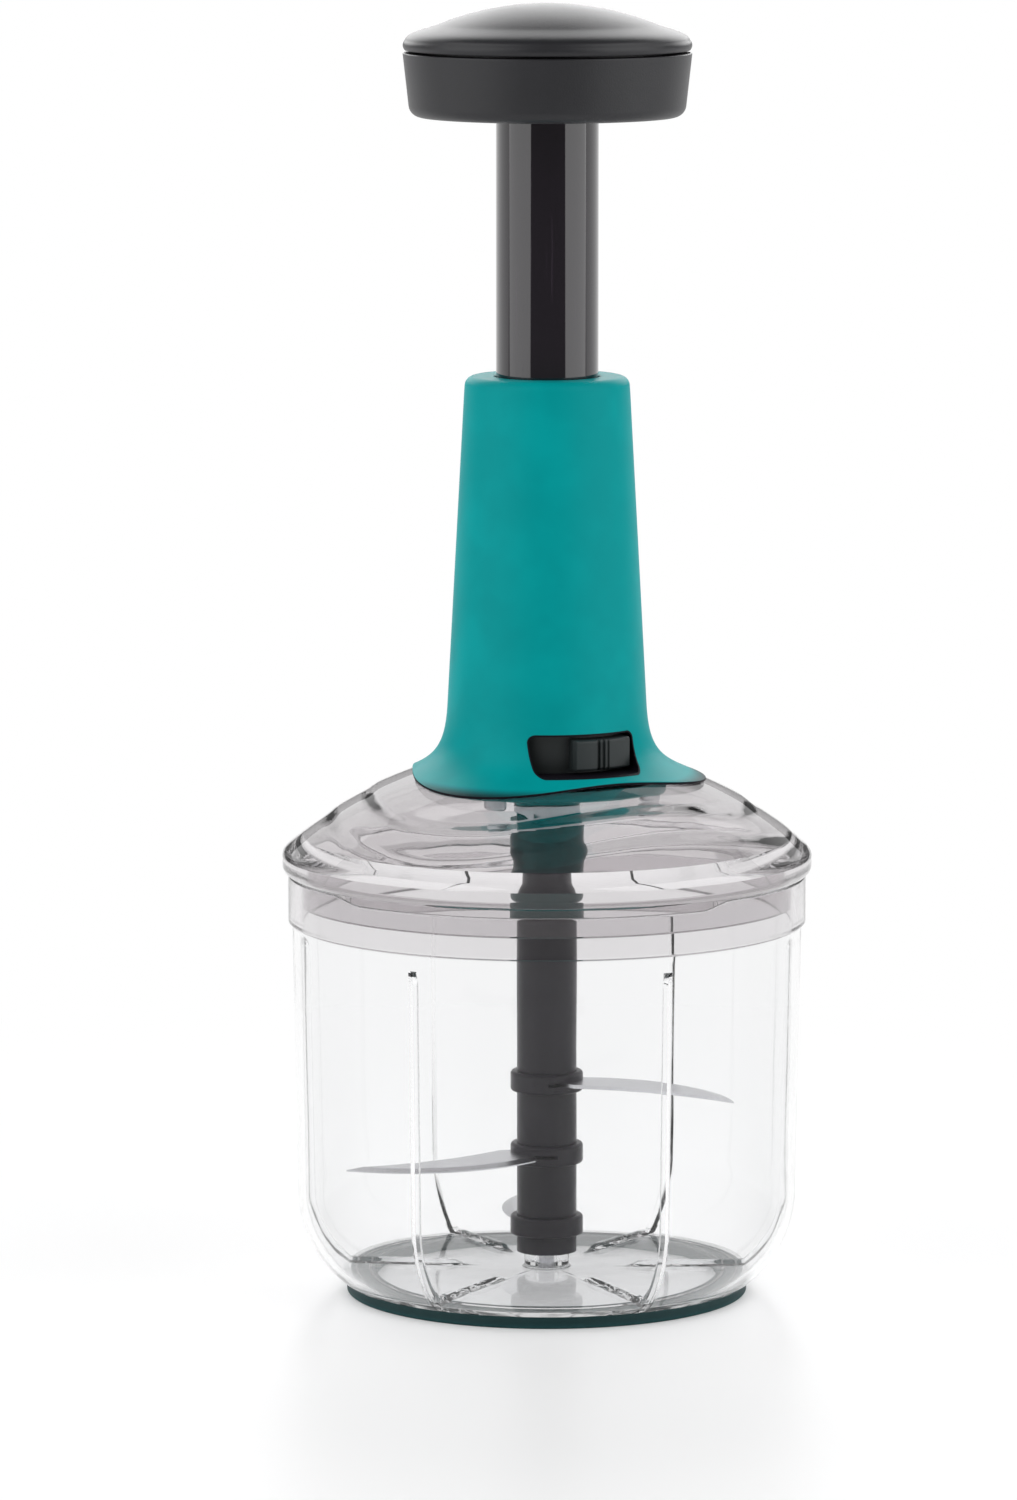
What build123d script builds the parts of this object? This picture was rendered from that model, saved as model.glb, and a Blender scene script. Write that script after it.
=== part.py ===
"""Push-down vegetable chopper: clear bowl and lid, teal grip, plunger with a twisted drive bar.

Millimetres, +Z up, origin at the centre of the base on the table, front towards -Y.
Angles about Z are counted from the front towards +X, which is counter-clockwise from above.
The plunger is modelled raised, with its lock open and its lid on.
"""
import os
from math import cos, pi, radians, sin, sqrt

from build123d import *

# Running clearances
running_gap = 0.08       # round shaft in its bearing, on the radius
sliding_gap = 0.2        # plunger in its guide, on the radius
seat_gap = 0.1           # moulded pieces that rest on each other
free_gap = 0.3           # parts that turn past each other
overrun = 1.0            # how far a cutting shape runs past a face
cut_reach = 20.0         # how far one runs past a whole piece

# Bowl
bowl_top_r = 62.6        # wall just under the collar
bowl_draft = 1.2         # how much narrower the wall is above the bottom corner
bowl_corner_reach = 10.9 # from there in to the underside
bowl_wall = 2.0
bowl_corner_z = 25.0
bowl_rim_z = 104.3
collar_step = 1.0        # collar outside the wall
collar_height = 12.0
boss_r = 5.5
boss_height = 3.8
pin_r = 2.0
pin_reach = 21.0         # how far the steel pin stands above its boss
rib_count = 6
rib_first_az = 30.0
rib_width = 2.0
rib_depth = 1.6
rib_drop = 19.3          # rib tops under the rim

# Base ring
foot_rim_inset = 2.9     # foot rim inside the end of the corner
foot_rim_width = 3.4
ring_overhang = 1.8      # ring outside the foot rim
ring_inset = 1.6         # ring inside the foot rim
ring_height = 3.0
ring_sole = 1.0

# Lid
lid_overhang = 1.4       # lid outside the collar
lid_lip_rise = 2.4       # from the rim to where the rolled edge turns in below
lid_lip_height = 2.2
lid_shoulder_in = 1.0
lid_shoulder_rise = 3.9
lid_dome_height = 18.4
lid_bulge = 1.87         # how far the dome's arc stands out of its chord
lid_wall = 2.2
lid_skirt_depth = 7.0
lid_skirt_wall = 1.6
lid_skirt_gap = 0.3
lid_step = 0.6           # each of the two lobed steps
lid_plateau_thickness = 2.2
lid_plateau_drop = 0.4   # plateau below the crown of the plain dome
lid_ledge = 1.3          # lid under the housing's chamber
crown_margin = 1.5       # plateau outside the drive cover
tongue_depth = 1.7
tongue_left_az = 48.0
tongue_right_az = 38.0
tongue_ramp = 5.0

# Lobed outlines, three lobes
lobe_count = 3
flange_width = 5.5       # mean outline outside the lid's crown
flange_swing = 3.0
step_pitch = 10.2        # between the two steps' mean outlines
upper_swing = 3.2
lower_inset = 8.0        # mean outline of the lower step inside the lid's edge
lower_swing = 4.0

# Teal housing
housing_height = 97.9    # above the lid's plateau
housing_top_wall = 1.6
housing_wall = 2.1
waist_height = 17.4      # where the flare starts, above the plateau
flare_drop = 13.0        # pull of the flare's upper end
flare_lean = 0.7
flare_reach = 11.0       # pull of its lower end
flare_rise = 4.6
flange_edge = 0.8        # thickness of the flange at its edge
flange_round = 0.4
housing_shoulder = 3.0
lip_height = 7.0

# Lock
window_az = 22.0
window_width = 27.0
window_height = 9.3
window_corner = 1.6
window_rise = 7.75       # middle of the window above the plateau
lock_turn = 20.0
lock_clear = 0.5
lock_wall = 4.3
lug_height = 2.8
lug_half_angle = 8.0
button_left_az = 14.0
button_right_az = 50.5
button_out = 1.3         # button outside the housing's waist
button_edge = 0.9        # button to window, above and below
grip_angle = 13.5
grip_out = 1.1
ridge_out = 0.7
pad_out = 0.4

# Plunger
stroke = 60.0
tube_r = 12.5
tube_wall = 1.8
tube_end_wall = 10.0
foot_wall = 2.9
foot_floor = 5.2
foot_relief = 0.8
key_depth = 1.6
key_width = 4.0
key_height = 6.1
key_first_az = 60.0
sleeve_wall = 1.1        # outside the keyways
nut_flange_width = 1.5
nut_flange = 2.0
nut_drop = 0.5           # nut bottom above the bottom of the foot

# Knob
knob_r = 35.15
knob_draft = 1.75
knob_skirt = 14.0
knob_seam = 0.6
knob_dome = 12.9
knob_wall = 2.5
knob_corner = 3.0
knob_hub_wall = 3.5
knob_web = 2.6
knob_clear = 3.0         # knob above the housing when pressed
knob_plug_depth = 10.5   # how far the tube goes into the knob
screw_r = 1.45
screw_head_r = 2.7
screw_head = 2.2
screw_wall = 1.15        # plastic between screw and chamber

# Drive
bar_lead = 40.0
bar_width = 10.4
bar_thickness = 4.0
bar_slot_gap = 0.25
journal_r = 4.2
bush_wall = 1.8
washer_margin = 0.8
washer_thickness = 0.6
collar_flange = 1.0
cover_edge = 1.4         # cover outside its screws' heads
cover_plate = 2.4
cover_hub_wall = 2.0
cover_hub_drop = 2.2
cover_rib = 1.6
screw_first_az = 90.0
cover_screw_reach = 7.0  # thread length inside the housing
ratchet_disc = 1.6
tooth_count = 8
tooth_height = 1.2
tooth_fill = 0.94        # share of the pitch that a tooth takes
tooth_gap = 0.35         # between the two rings of teeth
stub_step = 1.2          # stub inside the journal
clip_width = 1.4         # clip outside the stub
clip_groove = 0.6
clip_thickness = 0.8
clip_cover = 0.25
socket_margin = 1.0      # socket outside the ratchet
socket_web = 6.5

# Return spring
wire_r = 0.6
coil_side_gap = 1.5
coil_turns = 14
closed_pitch = 1.8
seat_side_gap = 1.1
seat_thickness = 2.5
seat_spigot = 5.0

# Blade rotor
shaft_r = 7.4
shaft_hub_wall = 1.6
shaft_hub_height = 5.0
shaft_drop = 7.3         # top of the shaft under the bowl's rim
blade_count = 3
blade_low_z = 16.0
blade_pitch = 18.0
blade_gap = 3.8          # blade tips to the ribs
low_blade_inset = 4.0    # lowest blade shorter, round the bowl's corner
blade_first_az = 190.0
blade_thickness = 0.9
blade_root = 3.6         # inner end of the blade inside the shaft
blade_tang = 6.0
blade_half_width = 7.0
blade_bevel = (0.6, 2.4)

# Radii that follow, from the wall and from the plunger outwards
bowl_low_r = bowl_top_r - bowl_draft
bowl_foot_r = bowl_low_r - bowl_corner_reach
bowl_bore_r = bowl_top_r - bowl_wall
collar_r = bowl_top_r + collar_step
foot_rim_r = bowl_foot_r - foot_rim_inset
foot_rim_bore_r = foot_rim_r - foot_rim_width
ring_r = foot_rim_r + ring_overhang
ring_bore_r = foot_rim_bore_r - ring_inset
lid_r = collar_r + lid_overhang
skirt_r = bowl_bore_r - lid_skirt_gap
tube_bore_r = tube_r - tube_wall
foot_r = tube_r + foot_wall
key_r = foot_r + key_depth
sleeve_bore_r = foot_r + sliding_gap
keyway_r = key_r + sliding_gap
sleeve_r = keyway_r + sleeve_wall
housing_top_r = sleeve_r + seat_gap + housing_top_wall
lock_bore_r = key_r + lock_clear
lock_ring_r = lock_bore_r + lock_wall
chamber_r = lock_ring_r + lock_clear
housing_waist_r = chamber_r + housing_wall
button_r = housing_waist_r + button_out
lid_opening_r = chamber_r - lid_ledge
screw_circle_r = chamber_r + screw_wall + screw_r
cover_r = screw_circle_r + screw_head_r + cover_edge
lid_crown_r = cover_r + crown_margin
flange_lobe = (lid_crown_r + flange_width, flange_swing)
lower_lobe = (lid_r - lower_inset, lower_swing)
upper_lobe = (lid_r - lower_inset - step_pitch, upper_swing)
bush_r = journal_r + bush_wall
washer_r = bush_r + washer_margin
collar_flange_r = washer_r - sliding_gap
cover_hub_r = bush_r + cover_hub_wall
ratchet_r = cover_hub_r
stub_r = journal_r - stub_step
clip_r = stub_r + clip_width
clip_groove_r = stub_r - clip_groove
hex_half = clip_r + clip_cover
socket_r = ratchet_r + socket_margin
nut_flange_r = tube_bore_r - sliding_gap
nut_r = nut_flange_r - nut_flange_width
coil_r = tube_bore_r - coil_side_gap - wire_r
seat_r = tube_bore_r - seat_side_gap
knob_low_r = knob_r - knob_draft
knob_room_r = knob_low_r - knob_wall
knob_hub_r = tube_r + knob_hub_wall
shaft_hub_r = shaft_r + shaft_hub_wall
blade_reach = bowl_low_r - bowl_wall - rib_depth - blade_gap

# Heights that follow, from the table up
bowl_under_z = ring_height + 2 * seat_gap
bowl_floor_z = bowl_under_z + bowl_wall
boss_top_z = bowl_floor_z + boss_height
collar_low_z = bowl_rim_z - collar_height
rib_top_z = bowl_rim_z - rib_drop
shaft_top_z = bowl_rim_z - shaft_drop
lid_lip_z = bowl_rim_z + lid_lip_rise
lid_lip_high_z = lid_lip_z + lid_lip_height
lid_shoulder = (lid_r - lid_shoulder_in, lid_lip_z + lid_shoulder_rise)
lid_crown = (lid_crown_r, lid_shoulder[1] + lid_dome_height)
plateau_z = lid_crown[1] - lid_plateau_drop
plateau_under_z = plateau_z - lid_plateau_thickness
housing_top_z = plateau_z + housing_height
housing_waist_z = plateau_z + waist_height
window_z = plateau_z + window_rise
window_low_z = window_z - window_height / 2
window_high_z = window_z + window_height / 2
cover_top_z = window_low_z - free_gap - seat_gap
lock_low_z = cover_top_z + free_gap
lock_high_z = window_high_z
lug_low_z = lock_high_z - lug_height
sleeve_low_z = lock_high_z + free_gap
lip_low_z = housing_top_z - lip_height
sleeve_high_z = lip_low_z - seat_gap
foot_low_z = cover_top_z + lock_clear + stroke
foot_high_z = sleeve_high_z - sliding_gap
key_high_z = foot_low_z + key_height
tube_low_z = foot_low_z + foot_floor
knob_low_z = housing_top_z + knob_clear + stroke
tube_high_z = knob_low_z + knob_plug_depth
tube_end_z = tube_high_z - tube_end_wall
web_high_z = tube_high_z + knob_web
skirt_high_z = knob_low_z + knob_skirt
cap_low_z = skirt_high_z + knob_seam
nut_low_z = foot_low_z + nut_drop
nut_high_z = tube_low_z + nut_flange
bush_high_z = cover_top_z - overrun
washer_high_z = bush_high_z + washer_thickness
collar_high_z = washer_high_z + seat_gap + collar_flange
bar_top_z = nut_high_z + 1.5 * overrun
seat_floor_z = bar_top_z + seat_thickness
cover_under_z = plateau_under_z - cover_plate
hub_low_z = cover_under_z - cover_hub_drop
disc_high_z = hub_low_z - free_gap
disc_low_z = disc_high_z - ratchet_disc
socket_high_z = disc_low_z - tooth_gap - tooth_height
web_low_z = socket_high_z - socket_web
clip_high_z = web_low_z - sliding_gap
clip_low_z = clip_high_z - clip_thickness
stub_low_z = clip_low_z - free_gap
hex_high_z = stub_low_z - 2 * free_gap
socket_low_z = shaft_top_z + 2 * free_gap


def at(az, shape):
    """Turn a shape made at the front to the angle az."""
    return Rot(0, 0, az) * shape


def turned(face):
    """Revolve a face drawn as radius and height."""
    return revolve(Plane.XZ * face, Axis.Z)


def outline(*points):
    """Closed face through straight points."""
    return make_face(Polyline(*points, close=True))


def disc(radius, low, high):
    return Pos(0, 0, low) * extrude(Circle(radius), high - low)


def ring(bore, radius, low, high):
    return Pos(0, 0, low) * extrude(Circle(radius) - Circle(bore), high - low)


def wedge(left, right, low, high):
    """Prism between two angles, less than a half turn apart."""
    reach = 2 * lid_r
    middle = (left + right) / 2
    corners = [(0, 0)]
    for az in (left, middle, right):
        corners.append((reach * sin(radians(az)), -reach * cos(radians(az))))
    return Pos(0, 0, low) * extrude(outline(*corners), high - low)


def sector(bore, radius, left, right, low, high):
    """Part of a ring between two angles."""
    return ring(bore, radius, low, high) & wedge(left, right, low, high)


def lobed_prism(lobe, low, high, grow=0.0):
    """Upright prism whose radius swings round the axis, with a lobe on the right."""
    mean, swing = lobe
    steps = 10 * lobe_count
    points = []
    for i in range(steps):
        turn = 2 * pi * i / steps
        radius = mean + grow + swing * cos(lobe_count * turn)
        points.append((radius * cos(turn), radius * sin(turn)))
    return Pos(0, 0, low) * extrude(make_face(Spline(*points, periodic=True)), high - low)


def bowl_body(inset, top):
    """Solid inside the bowl's outer surface, moved inwards by inset."""
    low_r = bowl_low_r - inset
    foot = bowl_foot_r - 0.4 * inset
    under = bowl_under_z + inset
    lean = (bowl_top_r - bowl_low_r) / (collar_low_z - bowl_corner_z)
    top_r = low_r + lean * (top - bowl_corner_z)
    wall = Line((top_r, top), (low_r, bowl_corner_z))
    corner = TangentArc((low_r, bowl_corner_z), (foot, under), tangent=(-lean, -1))
    rest = Polyline((foot, under), (0, under), (0, top), (top_r, top))
    return turned(make_face([wall, corner, rest]))


def tongue_prism(gap):
    """Front prism with sloping ends, for the tongue of the lid and its recess in the bowl."""
    left = -collar_r * sin(radians(tongue_left_az)) - gap
    right = collar_r * sin(radians(tongue_right_az)) + gap
    low = bowl_rim_z - tongue_depth - gap
    high = bowl_rim_z + 0.2 * tongue_depth
    profile = outline((left - tongue_ramp, high), (left + tongue_ramp / 2, low),
                      (right - tongue_ramp / 2, low), (right + tongue_ramp, high))
    profile = fillet(profile.vertices().filter_by(lambda v: v.Y < bowl_rim_z), 2.0)
    return extrude(Plane.XZ * profile, collar_r + cut_reach)


def make_bowl():
    shell = bowl_body(0, bowl_rim_z)
    collar = disc(collar_r, collar_low_z, bowl_rim_z)
    collar = fillet(collar.edges().sort_by(Axis.Z)[:1], 0.8)
    bowl = shell + collar - bowl_body(bowl_wall, bowl_rim_z + overrun)
    rib_zone = bowl_body(bowl_wall - 0.5, rib_top_z) - bowl_body(bowl_wall + rib_depth, rib_top_z)
    slab = Box(rib_width, collar_r, rib_top_z - bowl_floor_z,
               align=(Align.CENTER, Align.MAX, Align.MIN))
    slab = Pos(0, -foot_rim_bore_r / 2, bowl_floor_z) * slab
    for i in range(rib_count):
        bowl += at(rib_first_az + 360 / rib_count * i, slab & rib_zone)
    recess = tongue_prism(seat_gap) & disc(lid_r, collar_low_z, bowl_rim_z + overrun)
    bowl -= recess
    bowl -= at(180, recess)
    bowl += ring(foot_rim_bore_r, foot_rim_r, ring_sole, bowl_under_z)
    bowl += disc(boss_r, bowl_floor_z - 0.5, boss_top_z)
    bowl -= disc(pin_r, bowl_under_z + bowl_wall / 2, boss_top_z + overrun)
    return bowl


def make_base_ring():
    body = ring(ring_bore_r, ring_r, 0, ring_height)
    body = fillet(body.edges().sort_by(Axis.Z)[:2], 0.5)
    slot_bore = foot_rim_bore_r - seat_gap
    return body - ring(slot_bore, foot_rim_r + seat_gap, ring_sole, ring_height + 1)


def make_pivot_pin():
    pin = disc(pin_r, bowl_under_z + bowl_wall / 2, boss_top_z + pin_reach)
    return fillet(pin.edges().sort_by(Axis.Z)[-1:], 1.2)


def blade_place(i):
    """Height and turn of a blade, counted from the lowest."""
    return Pos(0, 0, blade_low_z + blade_pitch * i) * Rot(0, 0, blade_first_az - 90 + 120 * i)


def make_blade(i):
    """Sickle-shaped blade along +X, swept back, with its cutting bevel on the leading side."""
    reach = blade_reach - (low_blade_inset if i == 0 else 0)
    tip = (reach * 0.97, -reach * 0.24)
    root = blade_half_width
    start = blade_root + blade_tang
    lead = ThreePointArc((start, root), (reach * 0.66, root * 0.55), tip)
    trail = ThreePointArc(tip, (reach * 0.56, -root * 0.95), (start, -root))
    tang = Polyline((start, -root), (blade_root, -root * 0.6), (blade_root, root * 0.6), (start, root))
    plate = extrude(make_face([lead, trail, tang]), blade_thickness)
    edge = plate.edges().filter_by(GeomType.CIRCLE).group_by(Axis.Z)[-1].sort_by(Axis.Y)[-1]
    plate = chamfer(edge, blade_bevel[0], blade_bevel[1])
    return blade_place(i) * plate


def make_blade_shaft():
    shaft = disc(shaft_r, boss_top_z + free_gap, shaft_top_z)
    shaft = fillet(shaft.edges().sort_by(Axis.Z)[-1:], 0.8)
    for i in range(blade_count):
        low = blade_low_z + blade_pitch * i + blade_thickness / 2 - shaft_hub_height / 2
        hub = disc(shaft_hub_r, low, low + shaft_hub_height)
        shaft += fillet(hub.edges(), 0.8)
    hexagon = RegularPolygon(hex_half, 6, major_radius=False)
    head = Pos(0, 0, shaft_top_z) * extrude(hexagon, hex_high_z - shaft_top_z)
    shaft += chamfer(head.edges().group_by(Axis.Z)[-1], 0.8)
    slot = Pos(blade_root - seat_gap, 0, 0) * Box(shaft_hub_r, 2 * shaft_hub_r, blade_thickness,
                                                  align=(Align.MIN, Align.CENTER, Align.MIN))
    for i in range(blade_count):
        shaft -= blade_place(i) * slot
    return shaft - disc(pin_r + running_gap, 0, boss_top_z + pin_reach + free_gap)


def dome_arc(lift):
    """Arc of the lid's dome from shoulder to crown, lifted by lift."""
    shoulder = Vector(lid_shoulder[0], lid_shoulder[1] + lift)
    crown = Vector(lid_crown[0], lid_crown[1] + lift)
    chord = crown - shoulder
    outward = Vector(chord.Y, -chord.X).normalized()
    return ThreePointArc(shoulder, (shoulder + crown) * 0.5 + outward * lid_bulge, crown)


def lid_dome(lift, low):
    """Solid under the lid's dome, lifted by lift."""
    crown_z = lid_crown[1] + lift
    shoulder_r, shoulder_z = lid_shoulder
    dome = dome_arc(lift)
    rest = Polyline((lid_crown_r, crown_z), (0, crown_z), (0, low), (shoulder_r, low),
                    (shoulder_r, shoulder_z + lift))
    return turned(make_face([dome, rest]))


def lid_outside():
    """Solid inside the lid's outer surface, without its steps."""
    skirt_low = bowl_rim_z - lid_skirt_depth
    edge_r = collar_r - free_gap
    side = Polyline((0, skirt_low), (skirt_r, skirt_low), (skirt_r, bowl_rim_z), (edge_r, bowl_rim_z))
    lower = ThreePointArc((edge_r, bowl_rim_z), (lid_r - 0.45, bowl_rim_z + 0.9), (lid_r, lid_lip_z))
    lip = Line((lid_r, lid_lip_z), (lid_r, lid_lip_high_z))
    upper = ThreePointArc((lid_r, lid_lip_high_z), (lid_r - 0.3, lid_lip_high_z + 0.9), lid_shoulder)
    dome = dome_arc(0)
    rest = Polyline(lid_crown, (0, lid_crown[1]), (0, skirt_low))
    return turned(make_face([side, lower, lip, upper, dome, rest]))


def make_lid():
    cavity_r = skirt_r - lid_skirt_wall
    low = bowl_rim_z - lid_skirt_depth
    high = lid_crown[1] + cut_reach
    lid = lid_outside()
    lid += lobed_prism(lower_lobe, lid_lip_z, high) & lid_dome(lid_step, lid_lip_z)
    lid += lobed_prism(upper_lobe, lid_lip_z, high) & lid_dome(2 * lid_step, lid_lip_z)
    lid -= lid_dome(-lid_wall * 1.15, low - overrun) & disc(cavity_r, low - overrun, plateau_under_z)
    tongue = tongue_prism(0) & ring(skirt_r - 0.5, collar_r - 0.5, low, bowl_rim_z + 0.2)
    lid += tongue
    lid += at(180, tongue)
    lid -= disc(lid_crown_r, plateau_z, high)
    lid -= disc(lid_opening_r, low, high)
    return lid - screw_circle(screw_r + free_gap, plateau_under_z - overrun, plateau_z + overrun)


def screw_circle(radius, low, high):
    """The three cover screws' cylinders at a given radius."""
    pins = [at(screw_first_az + 120 * i, Pos(0, -screw_circle_r, 0) * disc(radius, low, high))
            for i in range(3)]
    return pins[0] + pins[1] + pins[2]


def make_housing():
    flange_reach = flange_lobe[0] + flange_lobe[1] + overrun
    middle = dome_arc(0) @ 0.5
    slope = (lid_crown[1] - middle.Y) / (middle.X - lid_crown_r)
    top_z = lid_crown[1] + 2 * lid_step
    edge_z = top_z - slope * (flange_reach - lid_crown_r) + flange_edge + flange_round
    low_z = plateau_z - cut_reach
    flare = Bezier((housing_waist_r, housing_waist_z),
                   (housing_waist_r + flare_lean, housing_waist_z - flare_drop),
                   (flange_reach - flare_reach, edge_z + flare_rise),
                   (flange_reach, edge_z))
    rest = Polyline((flange_reach, edge_z), (flange_reach, low_z), (lid_crown_r, low_z),
                    (lid_crown_r - seat_gap, plateau_z), (0, plateau_z), (0, housing_top_z),
                    (housing_top_r, housing_top_z), (housing_waist_r, housing_waist_z))
    body = turned(make_face([flare, rest]))
    top_edge = body.edges().filter_by(GeomType.CIRCLE).sort_by(Axis.Z)[-1]
    body = fillet(top_edge, housing_shoulder)
    body = body & lobed_prism(flange_lobe, low_z, housing_top_z + overrun)
    body -= lid_dome(2 * lid_step + seat_gap, low_z) - disc(lid_crown_r - seat_gap, 0, housing_top_z)
    inner_top_r = sleeve_r + seat_gap
    body -= turned(outline((0, plateau_z - overrun), (chamber_r, plateau_z - overrun),
                           (chamber_r, housing_waist_z), (inner_top_r, lip_low_z - 5 * overrun),
                           (inner_top_r, lip_low_z), (0, lip_low_z)))
    body -= disc(tube_r + sliding_gap, 0, housing_top_z + overrun)
    window = Plane.XZ * RectangleRounded(window_width, window_height, window_corner)
    body -= at(window_az, Pos(0, 0, window_z) * extrude(window, flange_reach))
    return body - screw_circle(screw_r, 0, plateau_z + cover_screw_reach)


def make_guide_sleeve():
    """Guide tube with three keyways and a foot flange that keeps the lock ring down."""
    sleeve = ring(sleeve_bore_r, sleeve_r, sleeve_low_z, sleeve_high_z)
    sleeve += ring(sleeve_bore_r, chamber_r - seat_gap, sleeve_low_z, sleeve_low_z + 2 * overrun)
    keyway = Pos(0, 0, sleeve_low_z - overrun) * Box(
        key_width + 2 * sliding_gap, 2 * key_r, sleeve_high_z, align=(Align.CENTER, Align.MAX, Align.MIN))
    keyway = keyway & disc(keyway_r, sleeve_low_z - overrun, sleeve_high_z + overrun)
    for i in range(3):
        sleeve -= at(key_first_az + 120 * i, keyway)
    return sleeve


def make_drive_cover():
    """Plate under the lid: flange, rim that carries the lock ring and hub for the bearing bush."""
    cover = disc(cover_r, cover_under_z, plateau_under_z)
    cover = fillet(cover.edges().sort_by(Axis.Z)[:1], 1.0)
    cover += ring(lock_bore_r, lid_opening_r - seat_gap, cover_under_z, cover_top_z)
    cover += disc(cover_hub_r, hub_low_z, bush_high_z)
    for i in range(3):
        rib = Pos(0, -cover_hub_r + overrun, cover_under_z) * Box(
            cover_rib, lock_bore_r - cover_hub_r, bush_high_z - overrun - cover_under_z,
            align=(Align.CENTER, Align.MAX, Align.MIN))
        cover += at(screw_first_az + 120 * i, rib)
    cover -= disc(bush_r, hub_low_z - overrun, cover_top_z + overrun)
    return cover - screw_circle(screw_r + free_gap, hub_low_z - overrun, plateau_z + overrun)


def make_bush():
    return ring(journal_r + running_gap, bush_r, hub_low_z, bush_high_z)


def make_washer():
    return ring(journal_r + running_gap, washer_r, bush_high_z, washer_high_z)


def cross_screw(length):
    """Pan-head screw with a cross recess, head upwards at z = 0 and shank down."""
    head = disc(screw_head_r, 0, screw_head)
    head = fillet(head.edges().sort_by(Axis.Z)[-1:], 1.0)
    slot = Pos(0, 0, screw_head) * Box(3.0, 0.7, 2.2)
    shank = disc(screw_r, -length, 0)
    shank = chamfer(shank.edges().sort_by(Axis.Z)[:1], 0.6)
    return head + shank - slot - Rot(0, 0, 90) * slot


def make_cover_screws():
    length = plateau_z + cover_screw_reach - 0.3 - cover_under_z
    screw = Pos(0, -screw_circle_r, cover_under_z) * (Rot(180, 0, 0) * cross_screw(length))
    return Compound([at(screw_first_az + 120 * i, screw) for i in range(3)])


def make_lock_ring():
    """Bayonet ring: three lugs pass between the keys, and turn over them to hold the plunger down."""
    body = ring(lock_bore_r, lock_ring_r, lock_low_z, lock_high_z)
    lug_r = foot_r + 2 * sliding_gap
    for i in range(3):
        az = key_first_az + lock_turn + 120 * i
        body += sector(lug_r, lock_bore_r + overrun, az - lug_half_angle, az + lug_half_angle,
                       lug_low_z, lock_high_z)
    return body


def make_lock_button():
    """Thumb-piece in the window: a grip, two ridges and a flat end."""
    low = window_low_z + button_edge
    high = window_high_z - button_edge
    body = sector(lock_ring_r, button_r, button_left_az, button_right_az, low, high)
    inner_r = button_r - overrun
    grip_right = button_left_az + grip_angle
    raised = (low + button_edge / 2, high - button_edge / 2)
    body += sector(inner_r, button_r + grip_out, button_left_az + 0.6, grip_right, *raised)
    for i in range(2):
        az = grip_right + 2.0 + 3.0 * i
        body += sector(inner_r, button_r + ridge_out, az - 0.6, az + 0.6, *raised)
    return body + sector(inner_r, button_r + pad_out, grip_right + 7.5, button_right_az - 0.6, *raised)


def make_plunger_tube():
    tube = disc(tube_r, tube_low_z, tube_high_z)
    tube -= disc(tube_bore_r, tube_low_z - overrun, tube_end_z)
    return tube - disc(screw_r, tube_end_z + overrun, tube_high_z + overrun)


def make_plunger_foot():
    """Guide collar round the bottom of the tube, with three keys against turning."""
    foot = disc(foot_r, foot_low_z, foot_high_z)
    band = (foot_high_z - key_high_z) / 5
    foot -= ring(foot_r - foot_relief, key_r, key_high_z + band, foot_high_z - band)
    foot -= disc(tube_r, tube_low_z, foot_high_z + overrun)
    foot -= disc(nut_r, foot_low_z - overrun, tube_low_z + overrun)
    key = Pos(0, 0, foot_low_z) * Box(key_width, 2 * key_r, key_height,
                                      align=(Align.CENTER, Align.MAX, Align.MIN))
    key = key & ring(foot_r - overrun, key_r, foot_low_z, key_high_z)
    for i in range(3):
        foot += at(key_first_az + 120 * i, key)
    return foot


def twisted(gap, low, high):
    """Flat bar section with rounded ends, turned one full turn for each lead of height."""
    section = Circle(bar_width / 2 + gap) & Rectangle(2 * bar_width, bar_thickness + 2 * gap)
    start = Rot(0, 0, 360 * low / bar_lead) * section
    turn = 360 * (high - low) / bar_lead
    body = Solid.extrude_linear_with_rotation(start.face(), (0, 0, 0), (0, 0, high - low), turn)
    return Pos(0, 0, low) * body


def make_drive_nut():
    nut = disc(nut_r, nut_low_z, nut_high_z)
    nut += disc(nut_flange_r, tube_low_z, nut_high_z)
    return nut - twisted(bar_slot_gap, nut_low_z - overrun, nut_high_z + overrun)


def ratchet_teeth():
    """Saw teeth standing up from z = 0, steep on the side that is pushed."""
    half_pitch = pi / tooth_count
    teeth = []
    for i in range(tooth_count):
        sections = []
        for radius in (stub_r + clip_groove, ratchet_r):
            half = tooth_fill * radius * sin(half_pitch)
            run = radius * cos(half_pitch)
            sections.append(make_face(Polyline((-half, -run, -free_gap), (half, -run, -free_gap),
                                               (half, -run, 0), (-half, -run, tooth_height), close=True)))
        teeth.append(at(360 / tooth_count * i, loft(sections, ruled=True)))
    return teeth


def make_drive_bar():
    """Stub for the socket, ratchet disc, journal, thrust collar and the twisted bar."""
    bar = disc(stub_r, stub_low_z, disc_low_z)
    bar -= ring(clip_groove_r, journal_r, clip_low_z, clip_high_z)
    bar += disc(ratchet_r, disc_low_z, disc_high_z)
    for tooth in ratchet_teeth():
        bar += Pos(0, 0, disc_low_z) * (Rot(0, 180, 0) * tooth)
    bar += disc(journal_r, disc_high_z, washer_high_z + seat_gap)
    bar += disc(collar_flange_r, washer_high_z + seat_gap, collar_high_z)
    bar += twisted(0, collar_high_z, bar_top_z)
    return bar + disc(bar_thickness / 2, bar_top_z, seat_floor_z)


def make_spring_seat():
    seat = disc(seat_r, bar_top_z, seat_floor_z)
    seat += disc(coil_r - wire_r - 2 * sliding_gap, seat_floor_z, seat_floor_z + seat_spigot)
    return seat - disc(bar_thickness / 2, bar_top_z - overrun, seat_floor_z)


def make_clip():
    clip = ring(clip_groove_r, clip_r, clip_low_z, clip_high_z)
    return clip - wedge(-28, 28, clip_low_z - overrun, clip_high_z + overrun)


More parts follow.
